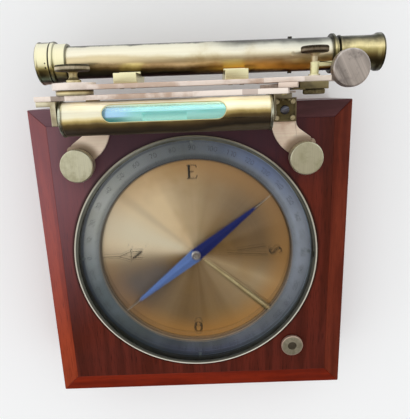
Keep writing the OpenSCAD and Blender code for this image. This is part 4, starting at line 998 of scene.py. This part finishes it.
def makeBlueing():
    # Blued steel: deep on the half that points up and right, paler on the other, and at
    # both tips a painted highlight along the ridge between brown edges
    material, tree, shader = newMaterial("bluedNeedle")
    vector = coords(tree, turn=(0, 0, place["needleTurn"]))
    spot = splitVector(vector)
    half = plus(times(spot[0], 400.0), 0.5, clamp=True)
    streak = streaks(vector, 20.0, 2500.0, 1.5)
    deep = mixColour(streak, (0.003, 0.012, 0.13), (0.006, 0.03, 0.25))
    pale = mixColour(streak, (0.11, 0.21, 0.56), (0.2, 0.37, 0.86))
    # Painted highlight along the ridge, shown at the tips
    ridge = rise(mathNode("ABSOLUTE", spot[1]), 0.00034, 0.00016)
    edges = mixColour(ridge, (0.05, 0.03, 0.02), (0.62, 0.56, 0.46))
    tips = rise(mathNode("ABSOLUTE", spot[0]), 0.047, 0.0505)
    setInputs(shader, {"Base Color": mixColour(tips, mixColour(half, pale, deep), edges), "Metallic": 0.45,
                       "Roughness": plus(times(streak, 0.1), 0.25)})
    return material


def makeInk(name, deep, thin):
    material, tree, shader = newMaterial(name)
    patch = patches(coords(tree), 500.0, 0.4, 0.7)
    setInputs(shader, {"Base Color": mixColour(patch, deep, thin), "Roughness": 0.7})
    return material


def makeSpirit():
    # Painted sky reflection in blue at the top, teal below, and painted shade at the left end and the brim
    material, tree, shader = newMaterial("tintedSpirit")
    vector = coords(tree, (0, *place["level"]))
    spot = splitVector(vector)
    along, across = spot[0], spot[1]
    colour = mixColour(rise(across, -0.001, 0.0026), (0.36, 0.7, 0.62), (0.2, 0.54, 0.52))
    colour = mixColour(rise(across, 0.0027, 0.0033), colour, (0.42, 0.82, 0.92))
    colour = mixColour(times(patches(vector, 70.0, 0.4, 0.7), 0.2), colour, (0.24, 0.48, 0.52))
    end = mixColour(rise(across, -0.0002, 0.0012), (0.03, 0.2, 0.2), (0.36, 0.6, 0.9))
    colour = mixColour(times(rise(along, -0.026, -0.042), 0.85), colour, end)
    brim = mathNode("MAXIMUM", rise(across, 0.0054, 0.0062), rise(along, -0.044, -0.0456))
    colour = mixColour(times(brim, 0.7), colour, (0.05, 0.1, 0.12))
    # Painted glow: the spirit's colour is also its emission
    setInputs(shader, {"Base Color": colour, "Emission Color": colour, "Emission Strength": 0.45,
                       "Roughness": 0.12, "Coat Weight": 0.5})
    return material


# The dial, ring, bezel and button below carry painted sheen, painted reflections and painted edge lines
metal["dial"] = makeBrushed("dialGilt", {
    "dark": (0.2, 0.115, 0.038), "light": (1.0, 0.79, 0.49), "stain": (0.46, 0.26, 0.07), "stained": 0.45,
    "cloud": 26.0,
    "wedges": (
        (140, 12, 1.1), (92, 12, 0.4), (325, 20, 0.42), (122, 1200, 0.14), (166, 60, 0.55), (139, 500, -0.42),
        (163, 2500, -0.25), (262, 8, 0.12), (336, 900, 0.14), (55, 10, 0.1),
    ),
    "tints": (
        (209, 26, 0.75, 12, 30, (0.16, 0.155, 0.16)), (160, 40, 0.8, 4, 12, (1.0, 0.92, 0.7)),
        (285, 2, 0.75, 44, 60, (0.66, 0.32, 0.07)), (60, 2, 0.7, 42, 60, (0.58, 0.3, 0.08)),
        (45, 8, 0.3, 20, 40, (0.3, 0.23, 0.17)),
    ),
    "rings": ((61.2, 62.4, 270, 1, 0.9, (0.03, 0.018, 0.008)), (61.3, 62.4, 90, 0, 0.6, (0.05, 0.04, 0.03))),
    "rays": 2.4, "rough": 0.36, "anisotropic": 0.6, "metallic": 0.35,
})
metal["ring"] = makeBrushed("silveredRing", {
    "dark": (0.085, 0.105, 0.125), "light": (0.64, 0.74, 0.9), "stain": (0.2, 0.22, 0.19), "stained": 0.4,
    "wedges": ((150, 9, 0.72), (12, 8, 0.62), (195, 10, 0.2), (318, 10, 0.24), (62, 8, 0.16), (280, 8, 0.1)),
    "tints": (
        (150, 10, 0.5, 60, 62, (0.75, 0.74, 0.56)), (52, 26, 0.6, 64, 70, (0.2, 0.3, 0.62)),
        (275, 12, 0.4, 66, 70, (0.15, 0.17, 0.38)), (205, 10, 0.45, 60, 61, (0.1, 0.17, 0.19)),
        (110, 10, 0.4, 60, 61, (0.13, 0.16, 0.18)), (95, 1.5, 0.55, 66.5, 64, (0.05, 0.06, 0.07)),
        (250, 3, 0.6, 71.5, 74, (0.03, 0.05, 0.05)),
    ),
    "rings": (
        (62.0, 62.8, 90, 0, 0.75, (0.04, 0.04, 0.05)), (72.6, 74.6, 180, 1.5, 0.7, (0.04, 0.07, 0.14)),
        (62.2, 62.8, 275, 2, 1.0, (0.9, 0.72, 0.46)), (63.0, 63.3, 275, 1, 0.5, (0.05, 0.05, 0.05)),
        (73.9, 74.5, 20, 1, 0.7, (0.5, 0.66, 0.86)),
    ),
    "rays": 3.0, "rough": 0.4, "anisotropic": 0.4, "metallic": 0.6,
})
metal["bezel"] = makeBrushed("bezelBrass", {
    "dark": (0.055, 0.06, 0.048), "light": (0.34, 0.34, 0.28), "stain": (0.03, 0.036, 0.026), "stained": 0.4,
    "wedges": ((265, 3, 0.3), (120, 6, 0.4)), "plain": 0.05,
    "rings": ((76.2, 77.4, 270, 0.7, 1.0, (1.0, 0.96, 0.82)), (76.7, 77.4, 90, 1, 0.75, (0.56, 0.5, 0.36))),
    "rays": 3.0, "rough": 0.34, "anisotropic": 0.3, "metallic": 0.25,
})
metal["button"] = makeBrushed("buttonBrass", {
    "dark": (0.34, 0.32, 0.23), "light": (0.82, 0.78, 0.61), "stain": (0.22, 0.2, 0.13), "stained": 0.5,
    "cloud": 260.0, "wedges": ((90, 2, 0.35), (300, 3, 0.2)), "plain": 0.1, "centre": (62.15, -64.81, 0),
    "rings": ((-1.0, 2.9, 90, 0, 0.85, (0.08, 0.066, 0.045)), (6.6, 7.6, 90, 0, 0.7, (0.74, 0.56, 0.46))),
    "rays": 3.0, "rough": 0.42, "anisotropic": 0.3, "metallic": 0.8,
})
metal["blue"] = makeBlueing()
ink = makeInk("engravingInk", (0.012, 0.01, 0.009), (0.035, 0.028, 0.02))
paleInk = makeInk("wornInk", (0.03, 0.035, 0.04), (0.1, 0.11, 0.13))
spirit = makeSpirit()
print("materials made")


def paint(node, material):
    # A CAD node whose shape is right keeps its mesh and gets a finish
    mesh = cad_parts[node].data
    mesh.materials.clear()
    mesh.materials.append(material)


# Rails, board, panel and the socket below
boxSizes = {"railEdge": 0.5, "boardEdge": 0.8}
for node, name, material in (("rail_front", "railFront", "railX"), ("rail_back", "railBack", "railBack"),
                             ("rail_left", "railLeft", "railL"), ("rail_right", "railRight", "railR")):
    soften(node, name, wood[material], "box", "mahogany_rail", boxSizes["railEdge"])
soften("base_board", "bottomBoard", wood["board"], "box", "mahogany_board", boxSizes["boardEdge"])
paint("top_panel", wood["panel"])
paint("board_screws", metal["screw"])
soften("tripod_flange", "socketFlange", metal["bright"], "box", "brass_bright", 0.3)
paint("flange_screws", metal["screw"])
print("box done")


# Bowl, dial, ring, glass and what holds the needle
for node, material in (
    ("compass_bowl", "bowl"), ("dial_plate", "dial"), ("graduated_ring", "ring"),
    ("glass_retainer", "retainer"), ("pivot_pin", "steel"), ("lift_collar", "bright"),
    ("fulcrum_pin", "steel"), ("button_bush", "bright"), ("lift_spring", "steel"),
):
    paint(node, metal[material])
paint("cover_glass", glass["cover"])

bezel = {"outer": 77.2, "inner": 75.4, "low": 45.0, "high": 46.8}
turned(
    "bezelRim",
    [
        (bezel["inner"], bezel["low"]), (bezel["outer"], bezel["low"], 0.05),
        (bezel["outer"], bezel["high"] - 0.4), (bezel["outer"] - 0.7, bezel["high"], 0.5),
        (bezel["inner"] + 0.1, bezel["high"], 0.3), (bezel["inner"], bezel["high"] - 0.3, 0.1),
    ],
    (0, 0, 0), "z", metal["bezel"], ("box", "bezel_brass", "bezel_ring"), steps=240, fillet=0.3, closed=True,
)

ringScrews = {"radius": 1.1, "height": 0.4, "slotWidth": 0.3, "slotDepth": 0.25}
ringScrewReach = 72.8
spots = []
for k in range(4):
    turnAngle = math.radians(90 * k)
    spots.append((
        (ringScrewReach * math.cos(turnAngle), ringScrewReach * math.sin(turnAngle), place["ringTop"]),
        (0, 0, 1), 30 + 70 * k,
    ))
hand(screws("ringScrews", spots, metal["ringScrew"], **ringScrews), "box", "steel", "ring_screws")

ringScale = {
    "Count": 360, "Step Angle": 1.0, "Start Radius": 62.5, "Direction": 1.0, "Long": 3.4, "Middle": 2.6,
    "Short": 1.8, "Width": 0.12, "Height": 0.05, "Level": place["ringTop"] + 0.01,
}
hand(ticks("ringDivisions", paleInk, ringScale), "box", "ring_silvered")


# Letters and figures as pen lines in a box 1 high; a third number is the pen, 1 for a thick stroke
glyphs = {
    "E": [
        [(0.16, 1.0, 1), (0.16, 0.0, 1)], [(0.0, 1.0, 0.4), (0.66, 1.0, 0.4), (0.72, 0.8, 0.4)],
        [(0.16, 0.52, 0.4), (0.5, 0.52, 0.4)], [(0.0, 0.0, 0.4), (0.68, 0.0, 0.4), (0.76, 0.22, 0.4)],
    ],
    "O": [
        [
            (
                0.33 + 0.3 * math.sin(step * math.pi / 10), 0.5 + 0.5 * math.cos(step * math.pi / 10),
                0.35 + 0.65 * abs(math.sin(step * math.pi / 10)),
            ) for step in range(21)
        ]
    ],
    "N": [
        [(0.1, 0.0, 0.4), (0.1, 1.0, 0.4)], [(0.06, 1.0, 0.8), (0.7, 0.0, 1)],
        [(0.7, 0.0, 0.4), (0.7, 1.0, 0.4)],
    ],
    "S": [[
        (0.5, 0.82, 0.4), (0.4, 0.97, 0.5), (0.2, 1.0, 0.6), (0.05, 0.84, 0.9), (0.1, 0.64, 1),
        (0.4, 0.42, 1), (0.52, 0.22, 0.9), (0.38, 0.02, 0.6), (0.16, 0.0, 0.5), (0.03, 0.18, 0.4),
    ]],
    "0": [
        [
            (0.3, 0), (0.05, 0.2), (0, 0.5), (0.05, 0.8), (0.3, 1), (0.55, 0.8), (0.6, 0.5), (0.55, 0.2),
            (0.3, 0),
        ],
    ],
    "1": [[(0.15, 0.8), (0.35, 1), (0.35, 0)]],
    "2": [[(0.02, 0.78), (0.15, 0.97), (0.45, 0.97), (0.58, 0.75), (0.5, 0.5), (0, 0), (0.6, 0)]],
    "3": [[(0.03, 0.85), (0.3, 1), (0.55, 0.8), (0.25, 0.54), (0.58, 0.28), (0.3, 0), (0, 0.15)]],
    "4": [[(0.45, 0), (0.45, 1), (0, 0.3), (0.6, 0.3)]],
    "5": [[(0.55, 1), (0.12, 1), (0.06, 0.56), (0.35, 0.62), (0.6, 0.35), (0.35, 0), (0, 0.1)]],
    "6": [[
        (0.5, 0.95), (0.2, 0.75), (0.02, 0.35), (0.2, 0.02), (0.45, 0.02), (0.6, 0.3), (0.35, 0.55),
        (0.05, 0.35),
    ]],
    "7": [[(0, 1), (0.6, 1), (0.2, 0)]],
    "8": [[
        (0.3, 0.54), (0.08, 0.75), (0.3, 1), (0.52, 0.75), (0.3, 0.54), (0.02, 0.25), (0.3, 0), (0.58, 0.25),
        (0.3, 0.54),
    ]],
    "9": [
        [
            (0.1, 0.05), (0.4, 0.25), (0.58, 0.65), (0.4, 0.98), (0.15, 0.98), (0, 0.7), (0.25, 0.45),
            (0.55, 0.65),
        ],
    ],
}


def sign(mark, middle, high, wide, up, pen, level):
    # One letter or figure, lying flat, with its top turned to the bearing "up"
    glyph = glyphs[mark]
    reach = max(p[0] for line in glyph for p in line)
    across = Vector((math.sin(math.radians(up)), -math.cos(math.radians(up))))
    along = Vector((math.cos(math.radians(up)), math.sin(math.radians(up))))
    lines = []
    for line in glyph:
        run = []
        for p in line:
            at = Vector(middle) + across * (p[0] / reach - 0.5) * wide + along * (p[1] - 0.5) * high
            run.append((at.x, at.y, level, pen * (p[2] if len(p) > 2 else 1)))
        lines.append(run)
    return lines


letters = {"level": place["dialTop"] + 0.02, "pen": 1.45, "fine": 0.45}
lines = []
for mark, middle, high, wide, up, pen in (
    ("E", (-0.5, 54), 8.3, 6.4, 90, 1.0), ("O", (-0.6, -54), 7.1, 4.8, 90, 1.1),
    ("N", (-38.5, 0), 6.4, 5.0, 180, 0.95), ("S", (52, 0), 7.7, 4.2, 180, 1.15),
):
    lines += sign(mark, middle, high, wide, up, letters["pen"] * pen, letters["level"])
# Fine engraved lines by the two side letters
for run in (
    ((-62, -0.7), (-50.5, -0.7)), ((-50.5, -0.7), (-42.6, 2.7)), ((-50.5, -0.7), (-43.3, -3.2)),
    ((-42.5, 5), (-42.5, -4)), ((27, 1), (45.6, 3.2)), ((20.5, -0.5), (32.5, -1.5), (47, -2.5)),
    ((-43.9, 7.0), (-43.7, 7.6)), ((-32.7, 6.0), (-32.5, 6.6)),
):
    lines.append([(x, y, letters["level"], letters["fine"]) for x, y in run])
hand(strokes("dialLetters", lines, ink, flatness=0.06), "box", "dial_gilt")

figures = {"reach": 69.4, "high": 2.9, "wide": 1.7, "gap": 0.75, "pen": 0.26}
lines = []
for tens in range(36):
    bearing = 180 - 10 * tens
    word = str(10 * tens)
    for k, mark in enumerate(word):
        shift = (k - (len(word) - 1) / 2) * (figures["wide"] + figures["gap"])
        turnAngle = math.radians(bearing)
        middle = (figures["reach"] * math.cos(turnAngle) + shift * math.sin(turnAngle),
                  figures["reach"] * math.sin(turnAngle) - shift * math.cos(turnAngle))
        lines += sign(
            mark, middle, figures["high"], figures["wide"], bearing, figures["pen"], place["ringTop"] + 0.015,
        )
hand(strokes("ringFigures", lines, paleInk, flatness=0.1), "box", "ring_silvered")


def makeNeedle():
    sizes = {"half": 62.2, "width": 9.0, "low": 41.1, "thick": 0.55, "ridge": 0.35}
    work = bmesh.new()
    rim = []
    for side in (0, 1):
        level = sizes["low"] + side * sizes["thick"]
        rim.append(
            [
                work.verts.new(Vector(p) * mm) for p in (
                    (sizes["half"], 0, level), (0, sizes["width"] / 2, level), (-sizes["half"], 0, level),
                    (0, -sizes["width"] / 2, level),
                )
            ]
        )
    top = work.verts.new(Vector((0, 0, sizes["low"] + sizes["thick"] + sizes["ridge"])) * mm)
    for k in range(4):
        n = (k + 1) % 4
        work.faces.new((rim[0][k], rim[0][n], rim[1][n], rim[1][k]))
        work.faces.new((rim[1][k], rim[1][n], top))
    work.faces.new(list(reversed(rim[0])))
    bmesh.ops.recalc_face_normals(work, faces=work.faces)
    bmesh.ops.bevel(work, geom=list(work.edges), offset=0.05 * mm, segments=1, affect="EDGES")
    bmesh.ops.rotate(work, verts=work.verts, cent=(0, 0, 0),
                     matrix=Matrix.Rotation(math.radians(place["needleTurn"]), 3, "Z"))
    mesh = bpy.data.meshes.new("needle")
    work.to_mesh(mesh)
    work.free()
    mesh.materials.append(metal["blue"])
    return makeObject("needle", mesh)


hand(makeNeedle(), "needle", "needle_steel", "needle_blade")
turned(
    "needleCap",
    [
        (0, 43.35), (0.8, 43.3, 0.3), (1.0, 42.95, 0.1), (1.6, 42.95, 0.1), (1.9, 43.55, 0.15),
        (2.2, 43.55, 0.15), (2.5, 42.9, 0.2), (3.0, 42.7, 0.3), (3.1, 41.9, 0.1), (2.4, 41.9, 0.05),
        (2.4, 40.4, 0.1), (1.6, 40.4, 0.1), (1.6, 42.6, 0.1), (0, 42.6),
    ],
    (0, 0, 0), "z", metal["steel"], ("needle", "steel", "needle_cap"), steps=64, fillet=0.15,
)
soften("lift_lever", "liftingLever", metal["lever"], "lift_lever", "brass_bright", 0.15, 2)

button = {"at": (62.15, -64.81), "radius": 7.2, "low": 45.9, "high": 48.1, "recess": 2.9, "stem": 2.2}
turned(
    "liftingButton",
    [
        (0, button["high"] - 0.8), (button["recess"], button["high"] - 0.8, 0.1),
        (button["recess"], button["high"], 0.15), (button["radius"], button["high"], 0.5),
        (button["radius"], button["low"], 0.3), (button["stem"], button["low"], 0.05),
        (button["stem"], 39.0, 0.2), (0, 39.0),
    ],
    (*button["at"], 0), "z", metal["button"], ("lift_button", "brass_knob", "lift_button"), steps=96,
)
print("compass done")


# What carries the limb
for side, name in (("left", "earLeft"), ("right", "earRight")):
    soften("ear_" + side, name, metal["plate"], "box", "brass_worn", 0.35)
paint("ear_bushes", metal["bright"])

knob = {"x": 67.0, "y": 62.5, "radius": 9.75, "low": 49.6, "high": 55.0, "neck": 4.0, "shank": 3.0}
knobOutline = [
    (0, knob["high"] - 0.12), (0.35, knob["high"] - 0.12, 0.05), (0.45, knob["high"], 0.05),
    (knob["radius"] - 0.5, knob["high"], 0.2), (knob["radius"], knob["high"] - 0.6, 0.3),
    (knob["radius"], knob["low"] + 0.6, 0.3), (knob["radius"] - 0.6, knob["low"], 0.3),
    (knob["neck"], knob["low"], 0.5), (knob["neck"], 48.0, 0.1), (knob["shank"], 48.0, 0.05),
    (knob["shank"], 36.0, 0.4), (0, 36.0),
]
for side, name in ((-1, "Left"), (1, "Right")):
    turned(
        "earScrew" + name, knobOutline, (side * knob["x"], knob["y"], 0), "z", metal["knob"],
        ("ear_screw_" + name.lower(), "brass_knob", "ear_screw_" + name.lower()),
        mill={"count": 84, "depth": 0.22, "low": knob["low"] + 0.5, "high": knob["high"] - 0.5},
    )

soften("foot_brackets", "footBrackets", metal["dark"], "box", "brass_dark", 0.25)
feet = {"x": 54.4, "y": 90.3, "top": 51.0, "asideX": 4.5, "asideY": 4.5}
cornerScrews = {"radius": 1.5, "height": 0.7, "slotWidth": 0.45, "slotDepth": 0.4}
middleScrews = {"radius": 2.6, "height": 0.7, "slotWidth": 0.6, "slotDepth": 0.4}
corners, middles = [], []
for side in (-1, 1):
    middles.append(((side * feet["x"], feet["y"], feet["top"]), (0, 0, 1), 20))
    for dx in (-feet["asideX"], feet["asideX"]):
        for y in (feet["y"] - feet["asideY"], feet["y"] + feet["asideY"]):
            corners.append(((side * feet["x"] + dx, y, feet["top"]), (0, 0, 1), 40 + 23 * dx + 5 * y))
hand(screws("bracketCornerScrews", corners, metal["screw"], **cornerScrews), "box", "brass_screw",
     "bracket_screws")
hand(screws("bracketMiddleScrews", middles, metal["blueSteel"], **middleScrews), "box", "steel")
print("ears and feet done")


soften("limb_plate", "limbPlate", metal["limb"], "box", "brass_worn", 0.2)
soften("limb_arc", "limbArc", metal["silver"], "box", "silver_scale", 0.15)
paint("limb_screws", metal["screw"])

px, pz = place["pivot"]
turned(
    "pivotCollar", [(9.75, 102.2), (9.75, 104.95), (2.3, 104.95), (2.3, 102.2)], (px, 0, pz), "y",
    metal["collar"], ("box", "brass_dark", "pivot_collar"), fillet=0.25, closed=True,
)
pivotOutline = [
    (0, 99.6), (2.25, 99.6, 0.1), (2.25, 108.65, 0.05), (3.9, 108.65, 0.2), (3.9, 110.05, 0.3),
    (2.9, 110.4, 0.3), (2.25, 111.4, 0.5), (2.25, 113.6, 0.4), (3.2, 114.45, 0.3), (8.5, 114.45, 0.3),
    (9.0, 114.95, 0.2), (9.0, 117.2, 0.2), (8.6, 117.65, 0.2), (0, 117.65),
]
turned(
    "pivotScrew", pivotOutline, (px, 0, pz), "y", metal["pivotKnob"],
    ("pivot_screw", "brass_knob", "pivot_screw"),
    mill={"count": 72, "depth": 0.2, "low": 114.9, "high": 117.2},
)

soften("level_tube", "levelTube", metal["levelTube"], "box", "brass_tube", 0.25)
rim = {"radius": 9.2, "half": 4.85, "straight": 28.15, "x": -13.0, "tilt": 19.0, "pen": 0.5}
lean = math.radians(rim["tilt"])
line = []
for k in range(49):
    angle = tau * k / 48 + 0.001
    along = rim["straight"] * (1 if math.cos(angle) > 0 else -1) + rim["half"] * math.cos(angle)
    across = rim["half"] * math.sin(angle)
    height = math.sqrt(rim["radius"] ** 2 - across ** 2) - 0.05
    line.append((rim["x"] + along, place["level"][0] + across * math.cos(lean) + height * math.sin(lean),
                 place["level"][1] - across * math.sin(lean) + height * math.cos(lean), rim["pen"]))
hand(strokes("windowRim", [line], metal["bright"], flatness=0.5, sides=6), "box", "brass_tube")
soften("level_ends", "levelEnds", metal["ends"], "box", "brass_bright", 0.3)
soften("level_brackets", "levelBrackets", metal["pale"], "box", "brass_dark", 0.3)
paint("level_vial", glass["vial"])
paint("level_spirit", spirit)
print("limb and level done")


# All that swings with the arm
sy, sz = place["scope"]
soften("telescope_arm", "telescopeArm", metal["arm"], "telescope", "brass_worn", 0.25)
soften("vernier_plate", "vernierPlate", metal["silver"], "telescope", "silver_scale", 0.1)
soften("scope_feet", "scopeSaddles", metal["bright"], "telescope", "brass_bright", 0.3)
paint("foot_screws", metal["screw"])
paint("main_tube", metal["tube"])
turned(
    "objectiveCell",
    [
        (8.4, -80.1), (10.5, -80.1, 0.2), (10.5, -74.9, 0.1), (11.2, -74.9, 0.2), (11.59, -74.4, 0.4),
        (11.59, -73.2, 0.4), (11.2, -72.7, 0.3), (10.4, -72.5, 0.2), (10.3, -71.9, 0.2), (10.3, -66.5, 0.3),
        (9.9, -65.9, 0.2), (8.8, -65.9, 0.05), (8.8, -68.4, 0.05), (9.2, -68.4, 0.05), (9.2, -71.0, 0.05),
        (8.4, -71.0, 0.05),
    ],
    (0, sy, sz), "x", metal["capBrass"], ("telescope", "brass_tube", "objective_cell"), closed=True,
)
paint("objective_lens", glass["lens"])
turned(
    "objectiveCap",
    [
        (0, -82.5), (10.9, -82.5, 0.5), (11.5, -82.0, 0.3), (11.5, -81.2, 0.2), (11.2, -80.9, 0.2),
        (11.2, -76.0, 0.2), (11.4, -75.6, 0.2), (11.2, -75.2, 0.1), (10.6, -75.2, 0.1), (10.6, -81.0, 0.2),
        (0, -81.0),
    ],
    (0, sy, sz), "x", metal["capBrass"], ("objective_cap", "brass_tube", "objective_cap"),
)
paint("reticle_ring", metal["bowl"])
paint("reticle_screws", metal["tube"])
turned(
    "rearFlange",
    [
        (7.7, 79.4), (10.2, 79.4, 0.2), (10.6, 79.8, 0.3), (10.6, 81.2, 0.3), (10.2, 81.6, 0.2),
        (9.3, 81.8, 0.1), (9.3, 82.5, 0.2), (9.1, 82.8, 0.1), (7.7, 82.8),
    ],
    (0, sy, sz), "x", metal["eyeBrass"], ("telescope", "brass_bright", "rear_flange"), closed=True,
)
eyeOutline = [
    (6.75, 61.0), (7.65, 61.0, 0.1), (7.65, 83.8, 0.05), (9.4, 83.8, 0.2), (9.6, 84.1, 0.2), (9.6, 84.9, 0.2),
    (9.1, 85.2, 0.1), (9.1, 102.2, 1.0), (9.35, 103.8, 1.0), (10.2, 105.4, 0.3), (10.2, 107.5, 0.4),
    (9.8, 107.9, 0.2), (9.0, 107.9, 0.3), (3.0, 106.1, 0.3), (3.0, 104.9, 0.1), (5.0, 104.9, 0.1),
    (5.0, 99.9, 0.1), (6.75, 99.9, 0.1),
]
turned(
    "eyepieceTube", eyeOutline, (0, sy, sz), "x", metal["eyeBrass"],
    ("eyepiece", "brass_tube", "eyepiece_tube"), closed=True,
)
paint("eye_lens", glass["lens"])
print("telescope done")


soften("clamp_jaw", "clampJaw", metal["dark"], "clamp", "brass_dark", 0.3)
soften("clamp_bracket", "clampBracket", metal["clampBrass"], "clamp", "brass_bright", 0.25)
turned(
    "clampNut",
    [(1.65, 98.5), (5.2, 98.5, 0.2), (5.75, 99.0, 0.2), (5.75, 100.8, 0.2), (5.3, 101.2, 0.2), (1.65, 101.2)],
    (place["clampX"], 0, pz), "y", metal["dark"], ("clamp", "brass_screw", "clamp_nut"), closed=True,
    mill={"count": 48, "depth": 0.2, "low": 98.9, "high": 100.9},
)
clampOutline = [(0, 98.5), (1.6, 98.5, 0.1), (1.6, 117.8, 0.2), (2.2, 118.6, 0.3), (3.4, 119.5, 0.2),
                (6.7, 119.5, 0.2), (7.2, 120.0, 0.2), (7.2, 122.2, 0.2), (6.7, 122.7, 0.2), (0, 122.7)]
turned(
    "clampScrew", clampOutline, (place["clampX"], 0, pz), "y", metal["clampKnob"],
    ("clamp_screw", "knob_grey", "clamp_screw"),
    mill={"count": 60, "depth": 0.2, "low": 119.9, "high": 122.3},
)
tangentOutline = [
    (0, 57.4), (1.6, 57.4, 0.2), (2.0, 57.8, 0.1), (2.0, 66.45, 0.05), (3.4, 66.45, 0.1), (3.4, 67.0, 0.05),
    (9.0, 67.0, 0.3), (9.65, 67.6, 0.3), (9.65, 72.4, 0.3), (9.1, 73.0, 0.3), (0, 73.0),
]
turned(
    "tangentScrew", tangentOutline, (*place["tangent"], 0), "z", metal["grey"],
    ("tangent_screw", "knob_grey", "tangent_screw"),
    mill={"count": 84, "depth": 0.22, "low": 67.5, "high": 72.5},
)
print("clamp done")


view = {
    "at": (7.17, 101.15, 303.84),
    "right": (0.99937, -0.03514, 0.00535),
    "up": (0.03532, 0.96458, -0.26142),
    "lens": 37.11,
    "sensor": 36.0,
    "shift": (0.0028, 0.0013),
}
camera = bpy.data.cameras.new("photoCamera")
camera.sensor_fit = "AUTO"
camera.sensor_width = view["sensor"]
camera.lens = view["lens"]
camera.shift_x, camera.shift_y = view["shift"]
camera.clip_start = 0.005
cameraObject = bpy.data.objects.new("photoCamera", camera)
bpy.context.scene.collection.objects.link(cameraObject)
right = Vector(view["right"]).normalized()
backward = right.cross(Vector(view["up"])).normalized()
up = backward.cross(right)
turnMatrix = Matrix((right, up, backward)).transposed().to_4x4()
cameraObject.matrix_world = Matrix.Translation(Vector(view["at"]) * mm) @ turnMatrix
bpy.context.scene.camera = cameraObject

floorMesh = bpy.data.meshes.new("floor")
floorMesh.from_pydata([(-3, -3, 0), (3, -3, 0), (3, 3, 0), (-3, 3, 0)], [], [(0, 1, 2, 3)])
floor = makeObject("floor", floorMesh)
floorMaterial, _, floorShader = newMaterial("paleFloor")
setInputs(floorShader, {"Base Color": (0.97, 0.98, 0.985, 1), "Roughness": 0.9, "Specular IOR Level": 0.0})
floorMesh.materials.append(floorMaterial)


def makeSky():
    # Soft even light for matt surfaces. Polished ones see a bright wall behind the
    # instrument, a window on the left, and a dark warm room in front.
    world = bpy.data.worlds.new("studio")
    bpy.context.scene.world = world
    world.use_nodes = True
    tree = world.node_tree
    tree.nodes.clear()
    spot = splitVector(addNode(tree, "ShaderNodeTexCoord").outputs["Generated"])
    room = ramp(plus(times(spot[1], 0.5), 0.5), (
        (0.0, (0.02, 0.012, 0.008)), (0.2, (0.06, 0.035, 0.02)), (0.36, (0.24, 0.16, 0.1)),
        (0.5, (0.5, 0.46, 0.4)), (0.68, (1.0, 1.0, 0.97)),
    ))
    window = times(rise(spot[0], -0.1, -0.3), rise(spot[1], -0.5, -0.1))
    glossy = mixColour(window, room, (1.08, 1.06, 1.03))
    path = addNode(tree, "ShaderNodeLightPath")
    colour = mixColour(path.outputs["Is Glossy Ray"], (0.94, 0.94, 0.94), glossy)
    sky = addNode(tree, "ShaderNodeBackground", {"Color": colour})
    addNode(tree, "ShaderNodeOutputWorld", {0: sky.outputs[0]})


makeSky()
bpy.context.scene.view_settings.view_transform = "Standard"
print("camera, floor and light done")
